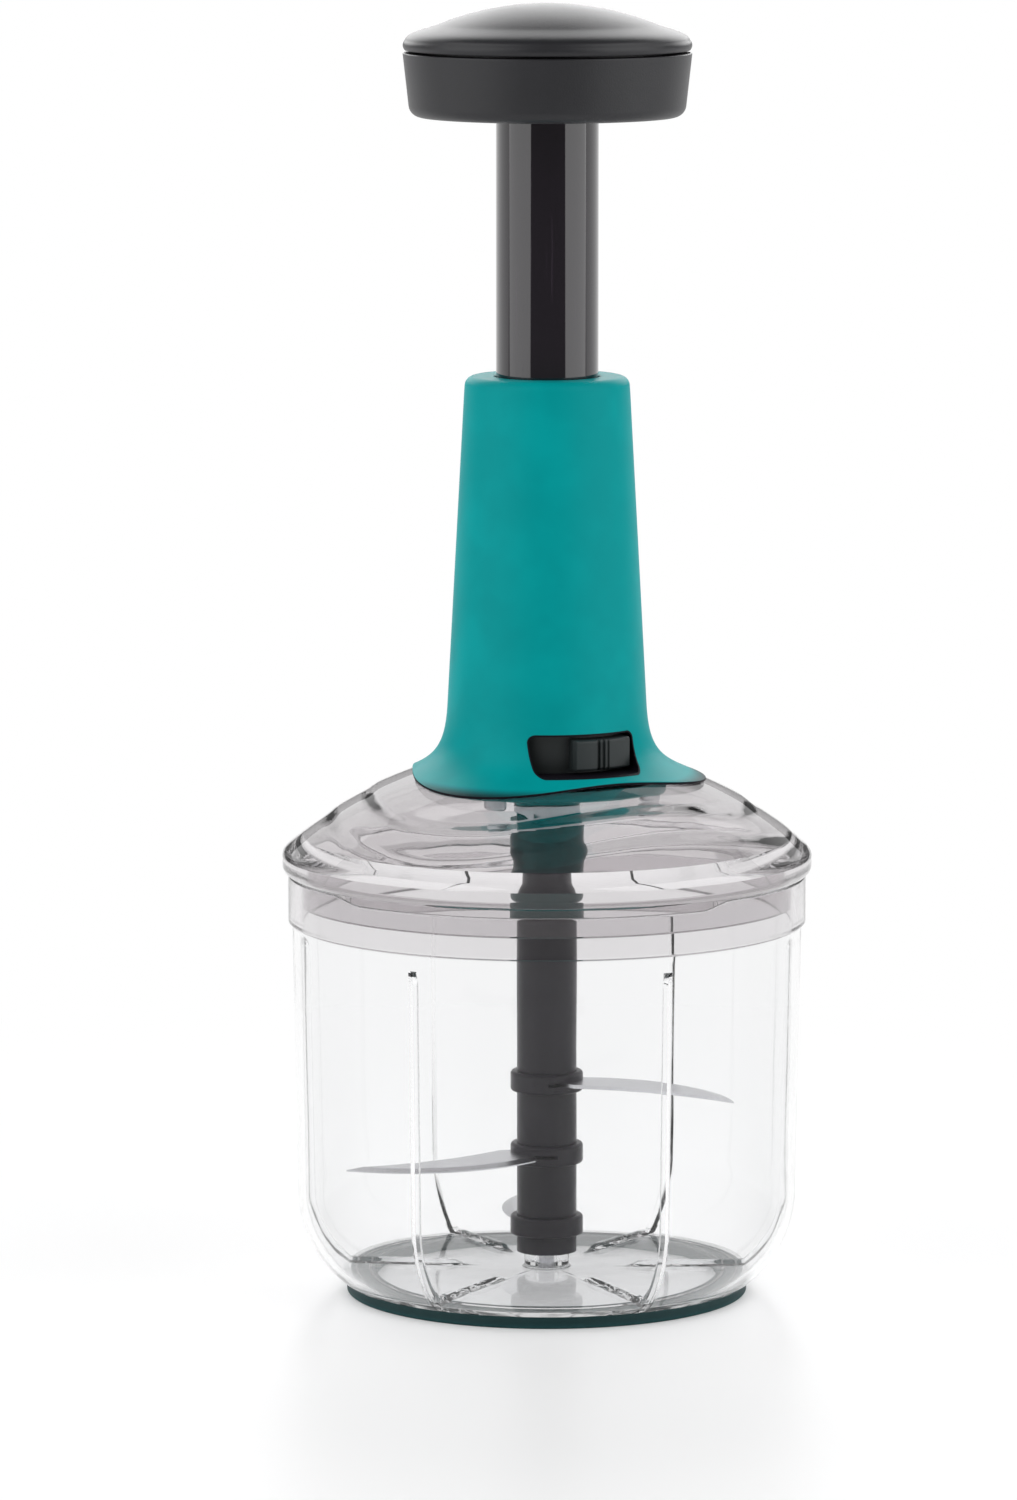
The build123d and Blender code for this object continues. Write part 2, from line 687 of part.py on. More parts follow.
def make_drive_socket():
    """Coupling that takes the hexagon of the blade shaft, with ratchet teeth on top."""
    socket = disc(socket_r, socket_low_z, socket_high_z)
    socket = fillet(socket.edges().sort_by(Axis.Z)[:1], 1.0)
    for tooth in ratchet_teeth():
        socket += Pos(0, 0, socket_high_z) * tooth
    pocket = RegularPolygon(hex_half + free_gap, 6, major_radius=False)
    socket -= Pos(0, 0, socket_low_z - overrun) * extrude(pocket, web_low_z - socket_low_z + overrun)
    return socket - disc(stub_r + running_gap, socket_low_z, disc_low_z)


def spring_height(turns, total, open_pitch):
    """Height of the wire's centre after some turns: closed first turn, even coils above."""
    if turns > coil_turns / 2:
        return total - spring_height(coil_turns - turns, total, open_pitch)
    start = min(turns, 1.0)
    climbed = start ** 3 - start ** 4 / 2 + max(turns - 1.0, 0.0)
    return closed_pitch * turns + (open_pitch - closed_pitch) * climbed


def arc_from(start, end, heading):
    """Arc from start to end that leaves start along heading."""
    chord = end - start
    along = chord.normalized()
    bisector = (heading + along).normalized()
    return ThreePointArc(start, start + bisector * (chord.length / 2 / bisector.dot(along)), end)


def make_return_spring():
    """Wire on pairs of tangent arcs, two pairs a turn."""
    low = seat_floor_z + wire_r
    total = tube_end_z - wire_r - low
    open_pitch = closed_pitch + (total - closed_pitch * coil_turns) / (coil_turns - 1)

    def point(turns):
        height = spring_height(turns, total, open_pitch)
        return Vector(coil_r * cos(2 * pi * turns), coil_r * sin(2 * pi * turns), low + height)

    def heading(turns):
        step = 0.001
        ahead = min(turns + step, coil_turns)
        behind = max(turns - step, 0.0)
        return (point(ahead) - point(behind)).normalized()

    arcs = []
    for i in range(2 * coil_turns):
        start, end = point(i / 2), point(i / 2 + 0.5)
        out, into = heading(i / 2), heading(i / 2 + 0.5)
        chord = end - start
        spread = 2 * (1 - out.dot(into))
        along = chord.dot(out + into)
        reach = (sqrt(along ** 2 + spread * chord.dot(chord)) - along) / spread
        middle = (start + end + (out - into) * reach) * 0.5
        turn_over = (end - into * reach) - (start + out * reach)
        arcs.append(arc_from(start, middle, out))
        arcs.append(arc_from(middle, end, turn_over.normalized()))
    path = Wire(arcs)
    spring = sweep(Plane(path @ 0, z_dir=path % 0) * Circle(wire_r), path)
    gaps = [spring_height(i / 8 + 1, total, open_pitch) - spring_height(i / 8, total, open_pitch)
            for i in range(8 * (coil_turns - 1))]
    print(f"return_spring least gap to itself {min(gaps) - 2 * wire_r:.2f} mm")
    tube_volume = pi * wire_r ** 2 * path.length
    print(f"return_spring volume {spring.volume:.1f}, section times length {tube_volume:.1f}")
    return spring


def make_knob_base():
    """Round dish with a hub for the tube and a web for the screw."""
    outside = outline((0, knob_low_z), (knob_low_r, knob_low_z), (knob_r, skirt_high_z), (0, skirt_high_z))
    body = turned(outside)
    body = fillet(body.edges().sort_by(Axis.Z)[:1], knob_corner)
    floor_z = knob_low_z + knob_wall
    open_z = skirt_high_z + overrun
    body -= turned(outline((knob_hub_r, floor_z), (knob_room_r, floor_z), (knob_room_r, open_z),
                           (0, open_z), (0, web_high_z), (knob_hub_r, web_high_z)))
    body -= disc(tube_r, knob_low_z - overrun, tube_high_z)
    return body - disc(screw_r + sliding_gap, tube_high_z - overrun, web_high_z + overrun)


def make_knob_cap():
    """Low dome with a rounded edge and a spigot ring that snaps into the base."""
    edge_z = cap_low_z + 2.4
    top_z = cap_low_z + knob_dome
    low = Line((0, cap_low_z), (knob_r - 0.5, cap_low_z))
    side = ThreePointArc((knob_r - 0.5, cap_low_z), (knob_r - 0.05, cap_low_z + 1.2), (knob_r - 0.6, edge_z))
    roll = ThreePointArc((knob_r - 0.6, edge_z), (knob_r - 3.6, edge_z + 2.6), (knob_r - 8.5, edge_z + 5.0))
    dome = TangentArc((0, top_z), (knob_r - 8.5, edge_z + 5.0), tangent=(1, 0))
    axis = Line((0, top_z), (0, cap_low_z))
    body = turned(make_face([low, side, roll, dome, axis]))
    room_r = knob_room_r - 2.2
    room = turned(outline((0, cap_low_z - overrun), (room_r, cap_low_z - overrun), (room_r, cap_low_z + 2.5),
                          (room_r - 10, cap_low_z + 6), (0, cap_low_z + 9)))
    spigot_r = knob_room_r - seat_gap
    return body - room + ring(spigot_r - 1.6, spigot_r, cap_low_z - 3, cap_low_z + knob_seam)


def make_knob_screw():
    return Pos(0, 0, web_high_z) * cross_screw(knob_web + tube_end_wall - 2)


def build_all():
    parts = {
        "base_ring": make_base_ring(),
        "bowl": make_bowl(),
        "pivot_pin": make_pivot_pin(),
        "blade_shaft": make_blade_shaft(),
        "lid": make_lid(),
        "housing": make_housing(),
        "guide_sleeve": make_guide_sleeve(),
        "drive_cover": make_drive_cover(),
        "cover_screws": make_cover_screws(),
        "bearing_bush": make_bush(),
        "thrust_washer": make_washer(),
        "lock_ring": make_lock_ring(),
        "lock_button": make_lock_button(),
        "plunger_tube": make_plunger_tube(),
        "plunger_foot": make_plunger_foot(),
        "drive_nut": make_drive_nut(),
        "drive_bar": make_drive_bar(),
        "spring_seat": make_spring_seat(),
        "retaining_clip": make_clip(),
        "drive_socket": make_drive_socket(),
        "return_spring": make_return_spring(),
        "knob_base": make_knob_base(),
        "knob_cap": make_knob_cap(),
        "knob_screw": make_knob_screw(),
    }
    for i, name in enumerate(("blade_lower", "blade_middle", "blade_upper")):
        parts[name] = make_blade(i)
    return parts


os.makedirs("parts", exist_ok=True)
for node, shape in build_all().items():
    export_step(shape, os.path.join("parts", node + ".step"))
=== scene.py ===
import math

import bpy
import numpy as np
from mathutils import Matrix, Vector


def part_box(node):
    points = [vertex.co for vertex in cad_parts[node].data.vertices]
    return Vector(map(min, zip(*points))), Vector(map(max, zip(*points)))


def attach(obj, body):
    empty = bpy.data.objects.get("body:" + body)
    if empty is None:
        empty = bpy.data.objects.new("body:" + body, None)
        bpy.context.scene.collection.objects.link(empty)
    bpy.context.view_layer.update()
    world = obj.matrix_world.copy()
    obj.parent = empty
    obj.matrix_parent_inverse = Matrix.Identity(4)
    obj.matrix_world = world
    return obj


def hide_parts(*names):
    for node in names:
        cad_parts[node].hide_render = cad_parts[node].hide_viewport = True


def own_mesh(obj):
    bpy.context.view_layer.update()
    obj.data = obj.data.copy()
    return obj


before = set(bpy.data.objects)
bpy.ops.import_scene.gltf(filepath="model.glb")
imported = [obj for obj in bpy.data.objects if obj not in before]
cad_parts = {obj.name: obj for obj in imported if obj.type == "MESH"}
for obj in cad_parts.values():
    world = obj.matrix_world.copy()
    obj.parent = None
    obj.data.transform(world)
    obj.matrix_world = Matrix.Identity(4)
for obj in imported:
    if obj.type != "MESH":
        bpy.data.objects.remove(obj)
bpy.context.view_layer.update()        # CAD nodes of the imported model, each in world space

bl_info = {
    "name": "Push-down vegetable chopper",
    "version": (1, 0, 0),
    "blender": (4, 5, 0),
    "location": "View3D > Sidebar > Chopper",
    "description": "Surfaces, finishes, light and camera of a push-down vegetable chopper",
    "category": "Object",
}

MM = 0.001

# Camera: place in metres, degrees that it looks down, focal length in pixels and sensor in millimetres
IMAGE_WIDTH, IMAGE_HEIGHT = 1017, 1500
CAMERA_PLACE, CAMERA_DIP = (-0.00944, -1.9198, 0.3974), 7.8
FOCAL_PIXELS, SENSOR = 7900, 36.0

# Three-lobed outlines on the lid, as mean radius and swing in millimetres
FLANGE, UPPER_STEP, LOWER_STEP = (36.0, 3.0), (46.8, 3.2), (57.0, 4.0)

# Lid: radius of its flat crown, height of its shoulder over the bowl's rim, and of its dome over the
# shoulder, in millimetres
CROWN_R, SHOULDER_RISE, DOME_RISE = 30.5, 6.3, 18.4


def low_z(node):
    """Lowest height of a CAD node, in millimetres."""
    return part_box(node)[0].z / MM


def high_z(node):
    """Greatest height of a CAD node, in millimetres."""
    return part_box(node)[1].z / MM


def size(name, description, default):
    """A length of a part, set in metres."""
    return bpy.props.FloatProperty(name=name, description=description, default=default, unit="LENGTH",
                                   precision=4)


def tint(name, description, default):
    """A colour of a finish, as scene-linear values."""
    return bpy.props.FloatVectorProperty(name=name, description=description, default=default, size=3,
                                         min=0.0, max=1.0, subtype="COLOR")


class ChopperSizes(bpy.types.PropertyGroup):
    """Sizes of the surfaces that are made here."""
    wall: size("Bowl wall", "Thickness of the bowl's wall", 0.0020)
    wall_r: size("Bowl radius", "Radius of the wall above the bottom corner", 0.0614)
    corner_z: size("Bowl corner", "Height where the bottom corner starts", 0.0250)
    foot_r: size("Bowl foot", "Radius where the corner meets the underside", 0.0505)
    collar_r: size("Collar", "Radius of the bowl's collar", 0.0636)
    rib_width: size("Rib width", "Width of the ribs inside the bowl", 0.0020)
    rib_depth: size("Rib depth", "How far the ribs stand out of the wall", 0.0016)
    rib_top: size("Rib top", "Height at which the ribs end", 0.0875)
    lid_r: size("Lid", "Radius of the lid's rolled edge", 0.0650)
    lid_wall: size("Lid wall", "Depth of the lid's wall, measured upright", 0.00253)
    lid_bulge: size("Dome", "How far the dome's arc stands out of its chord", 0.00187)
    lid_step: size("Lid step", "Height of each lobed step of the lid", 0.0006)
    tongue: size("Tongue", "Depth of the lid's tongues into the bowl's rim", 0.0017)
    waist_r: size("Waist", "Radius of the housing where its flare starts", 0.0244)
    grip_r: size("Grip", "Radius of the housing at its top", 0.0200)
    seam_rise: size("Knob seam", "How far the knob's skirt stands above the CAD seam", 0.0016)
    wire_r: size("Spring wire", "Radius of the spring's wire", 0.0006)
    window_width: size("Window width", "Width of the lock window", 0.0270)
    window_height: size("Window height", "Height of the lock window", 0.0093)
    grain: size("Grain", "Size of the moulding grain on the matte plastics", 0.0004)


class ChopperColours(bpy.types.PropertyGroup):
    """Colours of the finishes."""
    # The drive cover takes this teal at 0.45, darkened as painted shade.
    teal: tint("Teal", "Moulded housing and drive cover", (0.0, 0.325, 0.335))
    knob: tint("Knob", "Matte palm knob", (0.019, 0.019, 0.022))
    gloss: tint("Tube", "Gloss black tube", (0.010, 0.007, 0.011))
    thumb: tint("Thumb-piece", "Lock thumb-piece", (0.022, 0.029, 0.030))
    # This dark colour also paints the shade along the housing's joint with the lid and round the lock
    # window.
    dark: tint("Dark parts", "Lock ring and blade shaft", (0.009, 0.007, 0.011))
    ring: tint("Base ring", "Soft ring under the bowl", (0.002, 0.028, 0.030))
    clear: tint("Clear bowl", "Tint of the bowl", (0.955, 0.957, 0.960))
    # Painted shade: the collar is tinted darker than the rest of the bowl, for the shade seen in its thick
    # clear rim.
    collar: tint("Bowl collar", "Tint of the bowl's collar, where it gathers colour", (0.76, 0.745, 0.755))
    lid_clear: tint("Clear lid", "Tint of the lid, a little darker than the bowl", (0.86, 0.84, 0.85))
    # Painted shade: the rolled edge and skirt are tinted darker than the rest of the lid, for the shade
    # seen in its thick clear edge.
    lid_edge: tint("Lid edge", "Tint of the lid's rolled edge and skirt", (0.72, 0.70, 0.71))
    steel: tint("Steel", "Ground stainless steel", (0.58, 0.58, 0.60))
    nylon: tint("Nylon", "Natural nylon", (0.70, 0.68, 0.63))
    floor: tint("Floor", "Pale studio floor", (0.90, 0.90, 0.90))


def sizes():
    """The sizes on the panel."""
    return bpy.context.scene.chopper_sizes


def colour(name, factor=1.0):
    """A colour from the panel, darker or lighter by a factor."""
    return tuple(min(1.0, c * factor) for c in getattr(bpy.context.scene.chopper_colours, name))


# Curves in the plane of radius and height, in millimetres


def straight(a, b, count=2):
    """Points spaced evenly from a to b."""
    t = np.linspace(0.0, 1.0, count)[:, None]
    return np.asarray(a, float) * (1 - t) + np.asarray(b, float) * t


def arc_through(a, b, c, count):
    """Points on the circle through a, b and c, from a past b to c."""
    (ax, ay), (bx, by), (cx, cy) = a, b, c
    d = 2 * (ax * (by - cy) + bx * (cy - ay) + cx * (ay - by))
    ux = ((ax**2 + ay**2) * (by - cy) + (bx**2 + by**2) * (cy - ay) + (cx**2 + cy**2) * (ay - by)) / d
    uy = ((ax**2 + ay**2) * (cx - bx) + (bx**2 + by**2) * (ax - cx) + (cx**2 + cy**2) * (bx - ax)) / d
    start = math.atan2(ay - uy, ax - ux)
    middle = (math.atan2(by - uy, bx - ux) - start) % (2 * math.pi)
    sweep = (math.atan2(cy - uy, cx - ux) - start) % (2 * math.pi)
    if middle > sweep:
        sweep -= 2 * math.pi
    angles = start + sweep * np.linspace(0.0, 1.0, count)
    radius = math.hypot(ax - ux, ay - uy)
    return np.stack([ux + radius * np.cos(angles), uy + radius * np.sin(angles)], 1)


def tangent_arc(start, end, heading, count):
    """Circle that leaves start along heading and ends at end."""
    a, b = np.asarray(start, float), np.asarray(end, float)
    length = np.linalg.norm(b - a)
    chord = (b - a) / length
    half = np.asarray(heading, float) / np.linalg.norm(heading) + chord
    half /= np.linalg.norm(half)
    return arc_through(a, a + half * length / 2 / (half @ chord), b, count)


def bezier(p0, p1, p2, p3, t):
    """Cubic Bezier curve at the values t, which may be an array of any shape."""
    t = np.asarray(t, float)[..., None]
    p0, p1, p2, p3 = (np.asarray(p, float) for p in (p0, p1, p2, p3))
    return p0 * (1 - t) ** 3 + 3 * p1 * t * (1 - t) ** 2 + 3 * p2 * t**2 * (1 - t) + p3 * t**3


def rounded(*corners, steps=5):
    """Straight lines through corners given as radius, height and, where it is rounded, fillet."""
    spots = [np.array(corner[:2], float) for corner in corners]
    points = []
    for i, corner in enumerate(corners):
        if len(corner) == 2:
            points.append(spots[i][None])
            continue
        back, ahead = spots[i - 1] - spots[i], spots[i + 1] - spots[i]
        reach = min(np.linalg.norm(back), np.linalg.norm(ahead))
        back, ahead = back / np.linalg.norm(back), ahead / np.linalg.norm(ahead)
        half = math.acos(float(back @ ahead)) / 2
        cut = min(corner[2] / math.tan(half), 0.49 * reach)
        toward = (back + ahead) / np.linalg.norm(back + ahead)
        middle = spots[i] + toward * cut * (1 / math.cos(half) - math.tan(half))
        points.append(arc_through(spots[i] + back * cut, middle, spots[i] + ahead * cut, steps))
    return np.concatenate(points)


def joined(*curves):
    """One curve from several, with repeated points left out."""
    points = np.concatenate([np.asarray(c, float) for c in curves])
    keep = np.ones(len(points), bool)
    keep[1:] = np.linalg.norm(np.diff(points, axis=0), axis=1) > 1e-4
    return points[keep]


def smooth(low, high, value):
    """Smooth step from 0 at low to 1 at high."""
    t = np.clip((value - low) / (high - low), 0.0, 1.0)
    return t * t * (3 - 2 * t)


def lobed(outline, az):
    """Three-lobed radius: the mean plus the swing times the cosine of three times the angle from +X."""
    mean, swing = outline
    return mean + swing * np.cos(3 * (az - math.pi / 2))


def dome(radius):
    """Height of the lid's plain dome over a radius: the arc from the shoulder, 1 mm inside the lid's
    edge, to the crown, standing out of its chord by the bulge."""
    s = sizes()
    shoulder = np.array([s.lid_r / MM - 1.0, high_z("bowl") + SHOULDER_RISE])
    crown = np.array([CROWN_R, shoulder[1] + DOME_RISE])
    chord = crown - shoulder
    length = np.linalg.norm(chord)
    bulge = s.lid_bulge / MM
    ball = (length**2 / 4 + bulge**2) / (2 * bulge)
    outward = np.array([chord[1], -chord[0]]) / length
    centre = (shoulder + crown) / 2 + outward * (bulge - ball)
    return centre[1] + np.sqrt(ball**2 - (radius - centre[0]) ** 2)


def crown_z():
    """Height of the lid's flat crown, which lies a little lower than the end of its dome."""
    return float(dome(CROWN_R)) - 0.4


def tongue_share(radius, az):
    """How much of the tongue there is at a place on the rim, from 0 to 1. The front tongue runs from
    48 degrees on the left to 38 on the right with sloping ends, and the back one is turned by half."""
    across = radius * np.sin(az) * np.sign(np.cos(az))
    collar = sizes().collar_r / MM
    left, right = -collar * math.sin(math.radians(48)), collar * math.sin(math.radians(38))
    return smooth(left - 5, left + 2.5, across) * (1 - smooth(right - 2.5, right + 5, across))


# Meshes from whole arrays


def around(radius, height, az):
    """Points at an angle az from the front, counted towards +X, for arrays of the same shape."""
    return np.stack([radius * np.sin(az), -radius * np.cos(az), height + 0 * az], -1)


def spokes(count=144):
    """Angles from the front, evenly round."""
    return np.arange(count) * 2 * math.pi / count


def lathe(profile, az, shape=None):
    """Points, quads and triangles of a profile turned round the axis. One that starts and ends on the
    axis has a pole at each end, and any other is a closed loop. shape(radius, height, az, row) may
    move radii and heights by angle and by row along the profile."""
    profile = np.asarray(profile, float)
    poles = profile[0, 0] < 1e-6
    rows = profile[1:-1] if poles else profile
    radius, angle = np.meshgrid(rows[:, 0], az)
    height, row = np.meshgrid(rows[:, 1], np.arange(len(az)))[0], np.arange(len(rows))[None, :]
    if shape:
        radius, height = shape(radius, height, angle, row)
    points = around(radius, height, angle).reshape(-1, 3)
    count = len(rows)
    here = np.arange(len(az)) * count
    ahead = np.roll(here, -1)
    near = np.arange(count - 1 if poles else count)
    far = (near + 1) % count
    quads = np.stack([here[:, None] + near, here[:, None] + far,
                      ahead[:, None] + far, ahead[:, None] + near], -1).reshape(-1, 4)
    triangles = np.empty((0, 3), int)
    if poles:
        first = np.full(len(az), len(points))
        triangles = np.concatenate([np.stack([first, here, ahead], 1),
                                    np.stack([first + 1, ahead + count - 1, here + count - 1], 1)])
        points = np.vstack([points, [0, 0, profile[0, 1]], [0, 0, profile[-1, 1]]])
    return points, quads, triangles


def swept(rings):
    """Points, quads and triangles of a skin through rings of points, with a fan over each end."""
    rows, count = rings.shape[:2]
    here, near = np.arange(rows - 1)[:, None] * count, np.arange(count)[None, :]
    far = (near + 1) % count
    quads = np.stack([here + near, here + far, here + count + far, here + count + near], -1)
    fan = np.arange(1, count - 1)
    start = np.stack([0 * fan, fan + 1, fan], 1)
    triangles = np.concatenate([start, (rows - 1) * count + start[:, ::-1]])
    return rings.reshape(-1, 3), quads.reshape(-1, 4), triangles


def put(name, points, quads, triangles, body, finish, slot, nodes, sharp=35.0):
    """Make a closed piece from points in millimetres. A sixth of the sum of its corners' triple
    products is its volume, and where that is negative, the faces are turned round."""
    halves = np.concatenate([quads[:, :3], quads[:, [0, 2, 3]], triangles])
    a, b, c = (points[halves[:, i]] for i in range(3))
    if np.einsum("ij,ij->", a, np.cross(b, c)) < 0:
        quads, triangles = quads[:, ::-1], triangles[:, ::-1]
    mesh = bpy.data.meshes.new(name)
    mesh.from_pydata((points * MM).tolist(), [], quads.tolist() + triangles.tolist())
    piece = bpy.data.objects.new(name, mesh)
    bpy.context.scene.collection.objects.link(piece)
    return dress(piece, body, finish, nodes, sharp)


def dress(piece, body, finish, nodes, sharp=35.0):
    """Smooth shading with sharp creases, finish, body and the CAD nodes that it stands for."""
    mesh = piece.data
    mesh.polygons.foreach_set("use_smooth", np.ones(len(mesh.polygons), bool))
    mesh.set_sharp_from_angle(angle=math.radians(sharp))
    mesh.update()
    mesh.materials.clear()
    mesh.materials.append(finish)
    weighted = piece.modifiers.new("Weighted normals", "WEIGHTED_NORMAL")
    weighted.keep_sharp = True
    weighted.weight = 80
    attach(piece, body)
    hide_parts(*nodes)
    return piece


# Shader maths


class Socket:
    """A node socket that adds Math nodes when it is used in an expression."""

    def __init__(self, paint, socket):
        self.paint = paint
        self.socket = socket

    def maths(self, operation, *values):
        """Add a Math node of one operation."""
        return self.paint.node("ShaderNodeMath", {"operation": operation}, *values)

    def __add__(self, other):
        return self.maths("ADD", self, other)

    def __sub__(self, other):
        return self.maths("SUBTRACT", self, other)

    def __mul__(self, other):
        return self.maths("MULTIPLY", self, other)

    def __radd__(self, other):
        return self.maths("ADD", other, self)

    def __rsub__(self, other):
        return self.maths("SUBTRACT", other, self)

    def __rmul__(self, other):
        return self.maths("MULTIPLY", other, self)

    def step(self, low, high):
        """Smooth step of this value from 0 at low to 1 at high."""
        return self.paint.node("ShaderNodeMapRange", {"interpolation_type": "SMOOTHSTEP"},
                               self, low, high, 0.0, 1.0)


class Paint:
    """A material under construction, on the Principled shader."""

    def __init__(self, name):
        self.material = bpy.data.materials.new(name)
        self.material.use_nodes = True
        self.tree = self.material.node_tree
        self.shader = self.tree.nodes["Principled BSDF"]
        self.place = self.node("ShaderNodeTexCoord", {}, output="Object")

    def node(self, kind, settings, *values, output=0, **named):
        """Add a node: settings first, then the values or links of its inputs by place or by name."""
        node = self.tree.nodes.new(kind)
        for key, value in settings.items():
            setattr(node, key, value)
        for target, value in list(zip(node.inputs, values)):
            self.feed(target, value)
        for key, value in named.items():
            self.feed(node.inputs[key.replace("_", " ")], value)
        return Socket(self, node.outputs[output])

    def feed(self, target, value):
        """Link a socket to an input, or set the input's own value."""
        if isinstance(value, Socket):
            self.tree.links.new(value.socket, target)
        elif value is not None:
            target.default_value = value

    def set(self, **values):
        """Values or links of the Principled shader's inputs."""
        for key, value in values.items():
            self.feed(self.shader.inputs[key.replace("_", " ")], value)

    def axis(self, letter):
        """One coordinate of the place on the object, in metres."""
        return self.node("ShaderNodeSeparateXYZ", {}, self.place, output=letter)

    def stretched(self, x, y, z):
        """The place on the object, scaled along each axis."""
        return self.node("ShaderNodeMapping", {}, Vector=self.place, Scale=(x, y, z))

    def noise(self, grain, detail=2.0, place=None):
        """Soft noise whose blobs are about grain metres across."""
        return self.node("ShaderNodeTexNoise", {}, Vector=place or self.place, Scale=1.0 / grain,
                         Detail=detail)

    def mix(self, factor, a, b):
        """Colour a where the factor is 0 and b where it is 1."""
        mixed = self.tree.nodes.new("ShaderNodeMix")
        mixed.data_type = "RGBA"
        self.feed(mixed.inputs[0], factor)
        self.feed(mixed.inputs[6], a if isinstance(a, Socket) else (*a, 1.0))
        self.feed(mixed.inputs[7], b if isinstance(b, Socket) else (*b, 1.0))
        return Socket(self, mixed.outputs[2])

    def bump(self, height, depth):
        """Relief of a height from 0 to 1 that is depth metres deep."""
        self.set(Normal=self.node("ShaderNodeBump", {}, Height=height, Distance=depth, Strength=1.0,
                                  output="Normal"))

    def blend(self, factor, kind, **inputs):
        """Show another shader in place of this one where the factor is 1."""
        other = self.node(kind, {}, **inputs)
        mixed = self.tree.nodes.new("ShaderNodeMixShader")
        self.feed(mixed.inputs[0], factor)
        self.tree.links.new(self.shader.outputs[0], mixed.inputs[1])
        self.tree.links.new(other.socket, mixed.inputs[2])
        end = next(n for n in self.tree.nodes if n.type == "OUTPUT_MATERIAL")
        self.tree.links.new(mixed.outputs[0], end.inputs["Surface"])


def clear_plastic(name, below, above, low, high, shine=1.0):
    """Clear moulded plastic: faint flow waves, fine handling marks, a tint that changes between two
    heights, darker on one side as painted shade, and shadows that let the light through. shine is
    the strength of its reflections."""
    paint = Paint(name)
    marks = paint.noise(0.004, 4.0).step(0.55, 0.8)
    higher = paint.axis("Z").step(low * MM, high * MM)
    paint.set(Base_Color=paint.mix(higher, colour(below), colour(above)),
              Roughness=0.02 + 0.06 * marks, Transmission_Weight=1.0, IOR=1.46,
              Specular_Tint=(shine, shine, shine, 1.0))
    paint.bump(paint.noise(0.016, 1.0, paint.stretched(1.0, 1.0, 0.35)), 0.00010)
    shade = paint.node("ShaderNodeLightPath", {}, output="Is Shadow Ray")
    paint.blend(shade * 0.93, "ShaderNodeBsdfTransparent", Color=(0.96, 0.96, 0.965, 1.0))
    return paint.material


def moulded(name, base, roughness, depth, gloss=0.5, painted_shade=None):
    """Moulded plastic: spark-eroded grain, and gloss and tone that drift a little over the surface.
    The last argument, a function of the paint, may give a share, from 0 to 1, that is painted dark:
    painted shade."""
    paint = Paint(name)
    grain = paint.noise(sizes().grain, 2.0)
    cloud = paint.noise(0.02, 3.0)
    darker, lighter = (tuple(c * k for c in base) for k in (0.93, 1.06))
    tone = paint.mix(cloud.step(0.35, 0.7), darker, lighter)
    # Painted shade: the dark colour over the share given by the last argument.
    if painted_shade:
        tone = paint.mix(painted_shade(paint), tone, colour("dark"))
    paint.set(Base_Color=tone, Roughness=roughness - 0.04 + 0.08 * cloud, Specular_IOR_Level=gloss)
    paint.bump(grain, depth)
    return paint.material


def gloss_black():
    """Polished black plastic with faint rubbing marks along its length."""
    paint = Paint("gloss_black")
    marks = paint.noise(0.0006, 3.0, paint.stretched(1.0, 1.0, 0.02)).step(0.62, 0.75)
    paint.set(Base_Color=paint.mix(marks, colour("gloss"), colour("gloss", 2.2)),
              Roughness=0.06 + 0.08 * marks, Coat_Weight=0.5, Coat_Roughness=0.03)
    return paint.material


def ground_metal(name, base, roughness, along="Z"):
    """Ground metal: fine scratches drawn out along one axis, over a cloudy tone."""
    paint = Paint(name)
    scale = [0.04 if letter == along else 1.0 for letter in "XYZ"]
    lines = paint.noise(0.0003, 3.0, paint.stretched(*scale))
    cloud = paint.noise(0.01, 2.0)
    darker, lighter = (tuple(min(1.0, c * k) for c in base) for k in (0.82, 1.1))
    paint.set(Base_Color=paint.mix(lines, darker, lighter), Metallic=1.0,
              Roughness=roughness - 0.05 + 0.12 * lines + 0.06 * cloud)
    paint.bump(lines, 0.00001)
    return paint.material


def soft_ring():
    """Soft moulded ring: dull and finely porous, and paler along its lower edge."""
    paint = Paint("soft_ring")
    pores = paint.noise(0.0005, 3.0)
    pale_lower_edge = 0.5 * (1 - paint.axis("Z").step(0.0002, 0.0016))
    paint.set(Base_Color=paint.mix(pale_lower_edge, colour("ring"), colour("ring", 2.6)),
              Roughness=0.5 + 0.15 * pores, Specular_IOR_Level=0.3)
    paint.bump(pores, 0.00003)
    return paint.material


# Pieces


